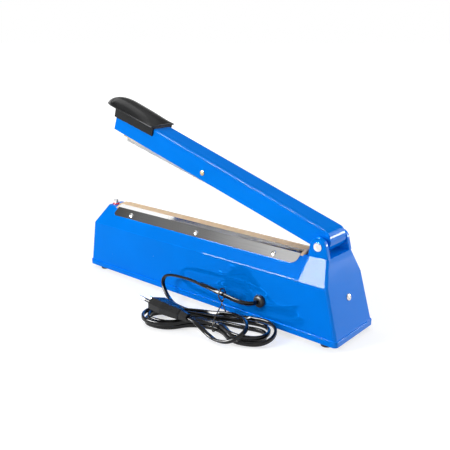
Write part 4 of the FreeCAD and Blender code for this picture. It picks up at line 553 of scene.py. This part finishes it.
# finishes by slot. First the kind with its scales: skin is moulded, sheet is bare metal, cloth is woven.
# Then two tones, two levels of roughness and the depth of the relief in metres. Some have a colour of dust,
# a colour of dull cut edges, and a painted reflection: mirroring on the flanks and clear coats elsewhere, set
# by which way a face looks to give the flanks coloured reflections and the hinge end its glare. What one
# doesn't give is as in plainFinish
plainFinish = {"ior": 1.5, "shine": 0.5, "sheen": 0.0, "bump": 0.6}
finishes = {
    "housing_blue": {
        "skin": (420, 16), "tones": ((0, 0.19, 0.77), (0, 0.203, 0.82)), "rough": (0.02, 0.05),
        # painted reflection: the flanks' mirroring and the coats differ by the way a face looks, for the
        # flanks' reflections and the hinge end's glare
        "depth": 2e-6, "dust": (0.55, 0.66, 0.85), "ior": 1.4, "shine": 0.02, "paintedFlankMirror": 0.2,
        "paintedGlareCoats": {"thin": 0.29, "thick": 0.9, "ior": 1.33, "rough": 0.035},
    },
    "grip_charcoal": {
        "skin": (1900, 40), "tones": ((0.008, 0.0085, 0.009), (0.012, 0.0125, 0.013)), "rough": (0.14, 0.2),
        "depth": 2.6e-5, "shine": 0.16, "sheen": 0.07,
    },
    "rubber_black": {
        "skin": (1200, 60), "tones": ((0.008, 0.008, 0.009), (0.016, 0.016, 0.017)), "rough": (0.35, 0.5),
        "depth": 4e-5, "shine": 0.35,
    },
    "cord_black": {
        "skin": (900, 45), "tones": ((0.003, 0.003, 0.0035), (0.006, 0.006, 0.0065)), "rough": (0.1, 0.17),
        "depth": 1.2e-5, "shine": 0.3,
    },
    "plug_black": {
        "skin": (1300, 50), "tones": ((0.007, 0.007, 0.008), (0.012, 0.012, 0.013)), "rough": (0.2, 0.3),
        "depth": 3e-5, "shine": 0.35,
    },
    "tie_black": {
        "skin": (1500, 90), "tones": ((0.003, 0.003, 0.003), (0.03, 0.02, 0.008)), "rough": (0.2, 0.34),
        "depth": 2e-5, "shine": 0.4,
    },
    "knob_black": {
        "skin": (1600, 60), "tones": ((0.014, 0.014, 0.015), (0.02, 0.02, 0.022)), "rough": (0.34, 0.46),
        "depth": 3e-5,
    },
    "parts_dark": {
        "skin": (1100, 70), "tones": ((0.02, 0.02, 0.023), (0.04, 0.04, 0.043)), "rough": (0.38, 0.55),
        "depth": 3e-5,
    },
    "collar_red": {
        "skin": (800, 90), "tones": ((0.5, 0.012, 0.012), (0.62, 0.022, 0.02)), "rough": (0.14, 0.24),
        "depth": 8e-6,
    },
    "lens_red": {
        "skin": (700, 90), "tones": ((0.55, 0.008, 0.006), (0.68, 0.015, 0.01)), "rough": (0.05, 0.1),
        "depth": 4e-6,
    },
    "silicone_grey": {
        "skin": (1000, 30), "tones": ((0.46, 0.46, 0.46), (0.55, 0.55, 0.54)), "rough": (0.3, 0.4),
        "depth": 3e-5, "shine": 0.15,
    },
    "bed_board": {
        "skin": (700, 120), "tones": ((0.34, 0.24, 0.14), (0.46, 0.34, 0.2)), "rough": (0.5, 0.7),
        "depth": 5e-5,
    },
    "board_green": {
        "skin": (500, 80), "tones": ((0.02, 0.13, 0.05), (0.04, 0.19, 0.08)), "rough": (0.25, 0.4),
        "depth": 2e-5,
    },
    "coil_tape": {
        "skin": (400, 60), "tones": ((0.58, 0.4, 0.05), (0.72, 0.52, 0.09)), "rough": (0.28, 0.42),
        "depth": 6e-5,
    },
    "core_steel": {
        "skin": (900, 80), "tones": ((0.07, 0.07, 0.075), (0.13, 0.13, 0.135)), "rough": (0.35, 0.55),
        "depth": 5e-5,
    },
    "clamp_steel": {
        "sheet": (300, 16), "tones": ((0.68, 0.68, 0.68), (0.78, 0.78, 0.78)), "rough": (0.07, 0.15),
        "depth": 1.2e-4, "cut": (0.66, 0.5, 0.34),
    },
    "plate_steel": {
        "sheet": (240, 12), "tones": ((0.5, 0.5, 0.51), (0.62, 0.62, 0.62)), "rough": (0.25, 0.4),
        "depth": 8e-5,
    },
    "strap_steel": {
        "sheet": (320, 30), "tones": ((0.48, 0.48, 0.48), (0.6, 0.6, 0.6)), "rough": (0.28, 0.42),
        "depth": 8e-5,
    },
    "spring_steel": {
        "sheet": (500, 60), "tones": ((0.3, 0.3, 0.31), (0.42, 0.42, 0.43)), "rough": (0.25, 0.4),
        "depth": 4e-5,
    },
    "ribbon_nichrome": {
        "sheet": (600, 40), "tones": ((0.45, 0.43, 0.4), (0.58, 0.55, 0.5)), "rough": (0.25, 0.4),
        "depth": 3e-5,
    },
    "zinc_yellow": {
        "sheet": (350, 45), "tones": ((0.46, 0.36, 0.2), (0.54, 0.46, 0.32)), "rough": (0.22, 0.32),
        "depth": 6e-5,
    },
    "screw_nickel": {
        "sheet": (700, 150), "tones": ((0.68, 0.67, 0.65), (0.82, 0.81, 0.79)), "rough": (0.12, 0.24),
        "depth": 2e-5,
    },
    "plug_nickel": {
        "sheet": (700, 120), "tones": ((0.68, 0.67, 0.64), (0.8, 0.79, 0.75)), "rough": (0.14, 0.24),
        "depth": 2e-5,
    },
    "plunger_chrome": {
        "sheet": (700, 120), "tones": ((0.72, 0.72, 0.73), (0.84, 0.84, 0.85)), "rough": (0.05, 0.12),
        "depth": 1e-5,
    },
    "terminal_brass": {
        "sheet": (600, 90), "tones": ((0.62, 0.43, 0.18), (0.74, 0.55, 0.27)), "rough": (0.22, 0.36),
        "depth": 4e-5,
    },
    "cloth_tan": {
        "cloth": (0.0007,), "tones": ((0.79, 0.57, 0.37), (0.85, 0.66, 0.45)), "rough": (0.36, 0.5),
        "depth": 3e-5, "shine": 0.0,
    },
}


def groupNode(tree, kind, values=()):
    node = tree.nodes.new("ShaderNodeGroup")
    node.node_tree = groups[kind]
    for socket, value in zip(node.inputs, values):
        socket.default_value = value
    return node.outputs


def mixTones(tree, fac, first, second):
    node = tree.nodes.new("ShaderNodeMix")
    node.data_type = "RGBA"
    tree.links.new(fac, node.inputs["Factor"])
    for name, colour in (("A", first), ("B", second)):
        socket = next(item for item in node.inputs if item.name == name and item.type == "RGBA")
        feed(tree, socket, (*colour, 1) if isinstance(colour, tuple) else colour)
    return next(item for item in node.outputs if item.type == "RGBA")


def coatSides(tree, shader, paintedFlankMirror, paintedGlareCoats):
    # painted reflection: the flanks reflect in the paint's own colour, the hinge end gets a thick clear
    # coating and the rest a thin one, set by which way a face looks to give the flanks' reflections and the
    # hinge end's glare, not layers the paint has
    facing = groupNode(tree, "facing")
    tree.links.new(mathNode(tree, "MULTIPLY", facing["Flank"], paintedFlankMirror), shader.inputs["Metallic"])
    more = mathNode(tree, "MULTIPLY", facing["End"], paintedGlareCoats["thick"] - paintedGlareCoats["thin"])
    less = mathNode(tree, "MULTIPLY", facing["Flank"], paintedGlareCoats["thin"])
    weight = mathNode(tree, "SUBTRACT", mathNode(tree, "ADD", more, paintedGlareCoats["thin"]), less)
    tree.links.new(weight, shader.inputs["Coat Weight"])
    shader.inputs["Coat IOR"].default_value = paintedGlareCoats["ior"]
    shader.inputs["Coat Roughness"].default_value = paintedGlareCoats["rough"]


def makeFinish(name, finish):
    finish = {**plainFinish, **finish}
    material = bpy.data.materials.new(name)
    material.use_nodes = True
    tree = material.node_tree
    shader = tree.nodes["Principled BSDF"]
    kind = next(kind for kind in ("skin", "sheet", "cloth") if kind in finish)
    relief, tone = groupNode(tree, kind, finish[kind])
    colour = mixTones(tree, tone, *finish["tones"])
    rough = spreadNode(tree, tone, (0, 1), finish["rough"])
    shader.inputs["Metallic"].default_value = 1.0 if kind == "sheet" else 0.0
    if "dust" in finish:
        colour = mixTones(tree, groupNode(tree, "dust")["Specks"], colour, finish["dust"])
    if "cut" in finish:
        cut = groupNode(tree, "facing")["Cut"]
        colour = mixTones(tree, cut, colour, finish["cut"])
        rough = mathNode(tree, "MAXIMUM", rough, cut)
        tree.links.new(mathNode(tree, "SUBTRACT", 1, cut), shader.inputs["Metallic"])
    # painted reflection: mirroring and coats set side by side by which way a face looks
    if "paintedGlareCoats" in finish:
        coatSides(tree, shader, finish["paintedFlankMirror"], finish["paintedGlareCoats"])
    tree.links.new(colour, shader.inputs["Base Color"])
    tree.links.new(rough, shader.inputs["Roughness"])
    bump = tree.nodes.new("ShaderNodeBump")
    bump.inputs["Distance"].default_value = finish["depth"]
    bump.inputs["Strength"].default_value = finish["bump"]
    tree.links.new(relief, bump.inputs["Height"])
    tree.links.new(bump.outputs["Normal"], shader.inputs["Normal"])
    shader.inputs["IOR"].default_value = finish["ior"]
    shader.inputs["Specular IOR Level"].default_value = finish["shine"]
    shader.inputs["Sheen Weight"].default_value = finish["sheen"]
    return material


materials = {name: makeFinish(name, finish) for name, finish in finishes.items()}
for entry in frame["record"]["subparts"]:
    node = nodes[entry["node"]]
    node.data.materials.clear()
    node.data.materials.append(materials[entry["material_slot"]])
cordPiece.data.materials.append(materials["cord_black"])
tiePiece.data.materials.append(materials["tie_black"])
print("finishes given,", len(materials))

# trees that grow what repeats or follows a line


def newTree(name, inputs):
    tree = bpy.data.node_groups.new(name, "GeometryNodeTree")
    tree.interface.new_socket("Places", in_out="INPUT", socket_type="NodeSocketGeometry")
    for label, value in inputs:
        socket = tree.interface.new_socket(label, in_out="INPUT", socket_type="NodeSocketFloat")
        socket.default_value = value
    tree.interface.new_socket("Finish", in_out="INPUT", socket_type="NodeSocketMaterial")
    tree.interface.new_socket("Grown", in_out="OUTPUT", socket_type="NodeSocketGeometry")
    return tree, tree.nodes.new("NodeGroupInput"), tree.nodes.new("NodeGroupOutput")


def addNode(tree, kind, inputs, **settings):
    node = tree.nodes.new(kind)
    for name, value in settings.items():
        setattr(node, name, value)
    for name, value in inputs.items():
        for item in value if isinstance(value, list) else [value]:
            feed(tree, node.inputs[name], item)
    return node.outputs[0]


def joinXyz(tree, x, y, z):
    return addNode(tree, "ShaderNodeCombineXYZ", {"X": x, "Y": y, "Z": z})


def readAttribute(tree, name, kind):
    return addNode(tree, "GeometryNodeInputNamedAttribute", {"Name": name}, data_type=kind)


def closeTree(tree, start, end, shape):
    real = addNode(tree, "GeometryNodeRealizeInstances", {"Geometry": shape})
    finish = start.outputs["Finish"]
    dressed = addNode(tree, "GeometryNodeSetMaterial", {"Geometry": real, "Material": finish})
    tree.links.new(dressed, end.inputs["Grown"])
    return tree


def smoothShape(tree, shape, angle):
    # smooth faces with sharp edges where the shape turns by more than the angle
    kind = "GeometryNodeSetShadeSmooth"
    smooth = addNode(tree, kind, {"Geometry": shape, "Shade Smooth": True}, domain="FACE")
    bend = addNode(tree, "GeometryNodeInputMeshEdgeAngle", {})
    turned = mathNode(tree, "GREATER_THAN", bend, angle)
    sharp = {"Geometry": smooth, "Selection": turned, "Shade Smooth": False}
    return addNode(tree, kind, sharp, domain="EDGE")


# screw with a cross recess, one unit in radius and rise, and scaled at each seat
screwShape = {
    "recess": [("Recess Width", 0.36), ("Recess Reach", 0.82), ("Recess Depth", 0.62), ("Recess Taper", 0.4),
               ("Dome", 0.55)],
    "segments": 40, "rings": 24, "shankSides": 20,
    "crease": 0.6,  # radians
}
tubeShape = {"sides": 14, "crease": 0.9}


def crossHeads():
    tree, start, end = newTree("crossHeads", screwShape["recess"])
    sizes = start.outputs
    parts = tree.nodes.new("ShaderNodeSeparateXYZ")
    tree.links.new(tree.nodes.new("GeometryNodeInputPosition").outputs[0], parts.inputs[0])
    x, y, z = parts.outputs
    sphere = {"Segments": screwShape["segments"], "Rings": screwShape["rings"], "Radius": 1.0}
    ball = addNode(tree, "GeometryNodeMeshUVSphere", sphere)
    height = mathNode(tree, "POWER", mathNode(tree, "MAXIMUM", z, 0), sizes["Dome"])
    domed = joinXyz(tree, x, y, height)
    head = addNode(tree, "GeometryNodeSetPosition", {"Geometry": ball, "Position": domed})
    # the recess is two crossed blocks that narrow downwards, sunk in the head by its depth
    low, high = -0.5, 0.5  # of a block one unit high
    width = sizes["Recess Width"]
    reach = mathNode(tree, "MULTIPLY", sizes["Recess Reach"], 2)
    taper = {"Value": z, "From Min": low, "From Max": high, "To Min": sizes["Recess Taper"], "To Max": 1.0}
    narrow = addNode(tree, "ShaderNodeMapRange", taper)
    shrunk = joinXyz(tree, mathNode(tree, "MULTIPLY", x, narrow), mathNode(tree, "MULTIPLY", y, narrow), z)
    rise = joinXyz(tree, 0.0, 0.0, mathNode(tree, "SUBTRACT", 1 + high, sizes["Recess Depth"]))
    bars = []
    for size in (joinXyz(tree, reach, width, 1.0), joinXyz(tree, width, reach, 1.0)):
        block = addNode(tree, "GeometryNodeMeshCube", {"Size": size})
        tapered = addNode(tree, "GeometryNodeSetPosition", {"Geometry": block, "Position": shrunk})
        bars.append(addNode(tree, "GeometryNodeTransform", {"Geometry": tapered, "Translation": rise}))
    cut = addNode(tree, "GeometryNodeMeshBoolean", {"Mesh 1": head, "Mesh 2": bars},
                  operation="DIFFERENCE", solver="EXACT")
    rod = {"Vertices": screwShape["shankSides"], "Radius": 1.0, "Depth": 1.0}
    shank = addNode(tree, "GeometryNodeMeshCylinder", rod)
    sunk = addNode(tree, "GeometryNodeTransform", {"Geometry": shank, "Translation": (0.0, 0.0, low)})
    way, roll = readAttribute(tree, "way", "FLOAT_VECTOR"), readAttribute(tree, "roll", "FLOAT")
    stand = addNode(tree, "FunctionNodeAlignRotationToVector", {"Vector": way}, axis="Z")
    spin = addNode(tree, "FunctionNodeAxisAngleToRotation", {"Axis": (0.0, 0.0, 1.0), "Angle": roll})
    turn = addNode(tree, "FunctionNodeRotateRotation", {"Rotation": stand, "Rotate By": spin},
                   rotation_space="LOCAL")
    grown = []
    for shape, label in ((cut, "head"), (sunk, "shank")):
        seat = {"Points": sizes["Places"], "Instance": smoothShape(tree, shape, screwShape["crease"]),
                "Rotation": turn, "Scale": readAttribute(tree, label, "FLOAT_VECTOR")}
        grown.append(addNode(tree, "GeometryNodeInstanceOnPoints", seat))
    return closeTree(tree, start, end, addNode(tree, "GeometryNodeJoinGeometry", {"Geometry": grown}))


def roundAlong():
    tree, start, end = newTree("roundAlong", [("Radius", 0.001)])
    line = addNode(tree, "GeometryNodeMeshToCurve", {"Mesh": start.outputs["Places"]})
    circle = {"Resolution": tubeShape["sides"], "Radius": start.outputs["Radius"]}
    ring = addNode(tree, "GeometryNodeCurvePrimitiveCircle", circle)
    tube = addNode(tree, "GeometryNodeCurveToMesh", {"Curve": line, "Profile Curve": ring, "Fill Caps": True})
    return closeTree(tree, start, end, smoothShape(tree, tube, tubeShape["crease"]))


trees = {"screws": crossHeads(), "tubes": roundAlong()}


def plainMesh(thing):
    # the mesh that an object's modifiers make
    bpy.context.view_layer.update()
    return bpy.data.meshes.new_from_object(thing.evaluated_get(bpy.context.evaluated_depsgraph_get()))


def grownPiece(name, seed, tree, slot, values):
    seedPiece = addObject(name + "_seed", seed)
    modifier = seedPiece.modifiers.new("grow", "NODES")
    modifier.node_group = tree
    for item in tree.interface.items_tree:
        if item.in_out == "INPUT" and item.name in values:
            modifier[item.identifier] = values[item.name]
        if item.name == "Finish":
            modifier[item.identifier] = materials[slot]
    mesh = plainMesh(seedPiece)
    bpy.data.objects.remove(seedPiece)
    bpy.data.meshes.remove(seed)
    mesh.name = name
    piece = addObject(name, mesh)
    return piece


def lineMesh(name, points, closed=False):
    mesh = bpy.data.meshes.new(name)
    edges = [(step, step + 1) for step in range(len(points) - 1)]
    if closed:
        edges.append((len(points) - 1, 0))
    mesh.from_pydata([tuple(point) for point in points], edges, [])
    return mesh


# screws: head radius, head rise and shank radius of each size
screwSizes = {"plate": (3.1, 1.7, 1.5), "large": (4, 2.4, 2), "cover": (3, 1.9, 1.5), "small": (1.9, 1.2, 1)}
# size, shank length, way out and seats, by body and by the node that they stand for
screwRows = {
    "base": {
        "clamp_screws": [
            ("plate", 7.6, (0, side * 0.6351, 0.7725),
             [(along, side * 19.31, 85.68) for along in (-105.8, 15.5, 136.8)])
            for side in (1, -1)
        ],
        "end_screw": [("large", 7.2, (-0.9646, 0, 0.2639), [(-193.57, 0, 49.3)])],
        "bottom_screws": [
            ("cover", 13.2, (0, 0, -1),
             [(along, side, 7) for along in (-160, 0, 160) for side in (-33.5, 33.5)]),
        ],
        "foot_screws": [
            ("cover", 7.7, (0, 0, -1),
             [(along, side, 3.5) for along in (-186, 186) for side in (-28.5, 28.5)]),
        ],
        "transformer_screws": [("large", 4.2, (0, 0, 1), [(-182.5, 0, 9.7), (-107.5, 0, 9.7)])],
        "switch_screws": [("small", 8.9, (0, -1, 0), [(173.3, 0.1, 65.1), (182.8, 0.1, 65.1)])],
    },
    "arm": {
        "grip_screws": [("plate", 8, (0.289, 0, -0.9573), [(107.71, 0, 211.65), (141.76, 0, 222.55)])],
        "striker_screw": [("plate", 3.2, (-0.9573, 0, -0.289), [(160.38, 0, 211.66)])],
    },
}
screwRoll = {"first": 0.35, "step": 0.9}  # radians, so that no two are driven home alike


def screwPiece(body, rows):
    seats, ways, rolls, heads, shanks = [], [], [], [], []
    for size, length, way, places in [row for rowsOfNode in rows.values() for row in rowsOfNode]:
        radius, rise, shank = screwSizes[size]
        for place in places:
            seats.append([value / perMetre for value in place])
            ways.append(way)
            rolls.append(screwRoll["first"] + screwRoll["step"] * len(seats))
            heads.append([value / perMetre for value in (radius, radius, rise)])
            shanks.append([value / perMetre for value in (shank, shank, length)])
    seed = bpy.data.meshes.new("seats")
    seed.from_pydata(seats, [], [])
    for label, values in (("way", ways), ("head", heads), ("shank", shanks)):
        layer = seed.attributes.new(label, "FLOAT_VECTOR", "POINT")
        layer.data.foreach_set("vector", np.array(values, float).ravel())
    seed.attributes.new("roll", "FLOAT", "POINT").data.foreach_set("value", rolls)
    piece = grownPiece(body + "_screws", seed, trees["screws"], "screw_nickel", {})
    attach(piece, body)
    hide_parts(*rows)
    print(piece.name, len(seats), "screws,", len(piece.data.polygons), "faces")


for body, rows in screwRows.items():
    screwPiece(body, rows)

# cloth over the bed: stretched between the clamp plates, its map in metres
cloth = {
    "start": -142.0, "end": 174.0, "thick": 0.3, "steps": 316,
    # corners of one half, from the clamp plate to the bed, and how they are rounded
    "half": [(14.069, 88.952), (12.369, 90.349), (5.577, 94.1)],
    "bend": 0.9, "bendSteps": (0.25, 0.5, 0.75, 1.0),
    # ripples on the flat top: height, half width, how soon they fade at its edge, turns along and across
    "ripple": 0.07, "rippleHalf": 6.4, "rippleFade": 4,
    "waves": [(0.21, 0.0), (0.083, 0.3), (0.047, -0.5)],
}


def clothProfile():
    half = [Vector(spot) for spot in cloth["half"]]
    path = half + [Vector((-spot.x, spot.y)) for spot in reversed(half)]
    points = [path[0]]
    for before, corner, after in zip(path, path[1:], path[2:]):
        last = points[-1]
        enter = corner + (before - corner).normalized() * cloth["bend"]
        leave = corner + (after - corner).normalized() * cloth["bend"]
        steps = max(2, round((enter - last).length))  # about a millimetre each
        points += [last.lerp(enter, step / steps) for step in range(1, steps + 1)]
        for share in cloth["bendSteps"]:
            points.append(enter.lerp(corner, share).lerp(corner.lerp(leave, share), share))
    return points + [points[-1].lerp(path[-1], 0.5), path[-1]]


def clothHeight(spot, place, y):
    waves = [math.sin(spot * along + place * across) for along, across in cloth["waves"]]
    flat = max(0.0, 1 - (abs(y) / cloth["rippleHalf"]) ** cloth["rippleFade"])
    return cloth["ripple"] * flat * (0.5 + sum(waves) / (2 * len(waves)))


def clothPiece():
    profile = clothProfile()
    along = np.linspace(cloth["start"], cloth["end"], cloth["steps"] + 1)
    steps = [(two - one).length for one, two in zip(profile, profile[1:])]
    across = np.concatenate([[0], np.cumsum(steps)])
    points, maps = [], []
    for spot in along:
        for place, (y, z) in zip(across, profile):
            points.append((spot / perMetre, y / perMetre, (z + clothHeight(spot, place, y)) / perMetre))
            maps.append(((spot - cloth["start"]) / perMetre, place / perMetre))
    count = len(profile)
    faces = [(row * count + col, row * count + col + 1, (row + 1) * count + col + 1, (row + 1) * count + col)
             for row in range(len(along) - 1) for col in range(count - 1)]
    top = addMesh("cloth_top", points, faces)
    layer = top.data.uv_layers.new(name="cloth")
    spread = np.array([maps[loop.vertex_index] for loop in top.data.loops], float)
    layer.data.foreach_set("uv", spread.ravel())
    wall = top.modifiers.new("thickness", "SOLIDIFY")
    wall.thickness = cloth["thick"] / perMetre
    wall.offset = -1.0
    mesh = plainMesh(top)
    bpy.data.objects.remove(top)
    mesh.materials.clear()
    mesh.materials.append(materials["cloth_tan"])
    piece = addObject("cloth_sheet", mesh)
    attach(piece, "base")
    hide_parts("ptfe_cover")
    print("cloth", round(float(across[-1]), 2), "mm wide")


clothPiece()

# return spring round the hinge pin, in the raised arm's own frame
armPlace = {"hinge": (-167.3, 0.0, 107.5), "raise": 16.8}
spring = {
    "radius": 4.6, "pitch": 2.2, "turns": 6, "wire": 1.6, "steps": 180,
    "legAngle": 30, "footAngle": 60, "legTop": 14.4, "footLow": 96.9,
    "blendFrom": -6.4, "blendTo": 7.3,  # along the pin: with the arm before, with the base after
}


def fromArm(points):
    turn = Matrix.Rotation(-math.radians(armPlace["raise"]), 3, "Y")
    return [(Vector(armPlace["hinge"]) + turn @ Vector(point)) / perMetre for point in points]


def coilPoint(turn):
    angle = 2 * math.pi * turn
    return Vector((-spring["radius"] * math.sin(angle), spring["pitch"] * (turn - spring["turns"] / 2),
                   spring["radius"] * math.cos(angle)))


def springPiece():
    steps = spring["steps"]
    first, last = spring["legAngle"] / 360, spring["turns"] + 0.5 - spring["footAngle"] / 360
    coils = [coilPoint(first + (last - first) * step / steps) for step in range(steps + 1)]
    leg = (coils[0] - coils[1]).normalized()
    up = coils[0] + leg * ((spring["legTop"] - coils[0].z) / leg.z)
    points = fromArm([up, coils[0].lerp(up, 0.5)] + coils)
    down = points[-1] - points[-2]
    points.append(points[-1] + down * ((spring["footLow"] / perMetre - points[-1].z) / down.z))
    piece = grownPiece("spring_coil", lineMesh("coils", points), trees["tubes"], "spring_steel",
                       {"Radius": spring["wire"] / 2 / perMetre})
    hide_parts("return_spring")
    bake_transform(piece)


springPiece()

# rolled edge of the grip's dome: places in the arm's frame, near side from the rear to the tip
gripBead = {
    "radius": 0.95, "splineSteps": 6,
    "rear": [(275.7, 0.0, 27.1), (275.7, 7.0, 26.9), (275.7, 14.0, 26.2), (275.8, 18.6, 25.2)],
    "side": [
        (276.6, 19.9, 24.9), (300.0, 20.0, 24.7), (325.0, 20.0, 24.5), (347.0, 20.0, 24.3),
        (360.3, 17.6, 23.2), (370.7, 12.0, 21.0), (378.3, 6.0, 18.8), (381.4, 2.0, 17.6), (381.9, 0.0, 17.4),
    ],
}


def beadPiece():
    half = gripBead["rear"] + gripBead["side"]
    loop = half + [(x, -y, z) for x, y, z in reversed(half[1:-1])]
    steps = gripBead["splineSteps"]
    line = readSpline("bead", [Vector(spot) for spot in loop + loop[:2]], steps)
    points = fromArm(line[:-steps])  # the last stretch lies on the first
    piece = grownPiece("grip_bead", lineMesh("edge", points, closed=True), trees["tubes"], "grip_charcoal",
                       {"Radius": gripBead["radius"] / perMetre})
    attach(piece, "arm")


beadPiece()

# scale of the timer, printed on the front round the knob
dial = {
    "centre": (95.0, -38.683, 36.0), "lean": 2.0346, "first": 90, "sweep": 270, "numbers": 8,
    "lift": 0.04, "thick": 0.02, "tickIn": 16.6, "tickOut": 18.2, "tickHalf": 0.35,
    "numberAt": 20.9, "numberSize": 4.6, "sameSpot": 1e-4,
}


def dialNumber(shape, number, place):
    word = bpy.data.curves.new("number", "FONT")
    word.body = str(number)
    word.size, word.extrude = dial["numberSize"], dial["thick"] / 2
    word.align_x, word.align_y = "CENTER", "CENTER"
    holder = bpy.data.objects.new("number", word)
    mesh = bpy.data.meshes.new_from_object(holder)
    mesh.transform(Matrix.Translation(place))
    shape.from_mesh(mesh)
    bpy.data.objects.remove(holder)
    bpy.data.curves.remove(word)
    bpy.data.meshes.remove(mesh)


def dialPiece():
    lean = math.radians(dial["lean"])
    right, up = Vector((1, 0, 0)), Vector((0, math.sin(lean), math.cos(lean)))
    front = Vector(dial["centre"]) + right.cross(up) * dial["lift"]
    tick = (dial["tickOut"] - dial["tickIn"], 2 * dial["tickHalf"], dial["thick"])
    shape = bmesh.new()
    for step in range(dial["numbers"]):
        angle = math.radians(dial["first"] - dial["sweep"] * step / (dial["numbers"] - 1))
        out = Vector((math.cos(angle), math.sin(angle), 0))
        dialNumber(shape, step + 1, out * dial["numberAt"])
        middle = Matrix.Translation(out * (dial["tickIn"] + dial["tickOut"]) / 2)
        turn = Matrix.Rotation(angle, 4, "Z")
        bmesh.ops.create_cube(shape, matrix=middle @ turn @ Matrix.Diagonal((*tick, 1)))
    bmesh.ops.remove_doubles(shape, verts=shape.verts, dist=dial["sameSpot"])
    bmesh.ops.recalc_face_normals(shape, faces=shape.faces)
    mesh = bpy.data.meshes.new("dial_print")
    shape.to_mesh(mesh)
    shape.free()
    mesh.transform(Matrix.Scale(1 / perMetre, 4) @ Matrix.Translation(front) @ standOn(right, up))
    mesh.materials.append(materials["silicone_grey"])
    piece = addObject("dial_print", mesh)
    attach(piece, "base")


dialPiece()
print("screws, cloth, spring, bead and dial made")
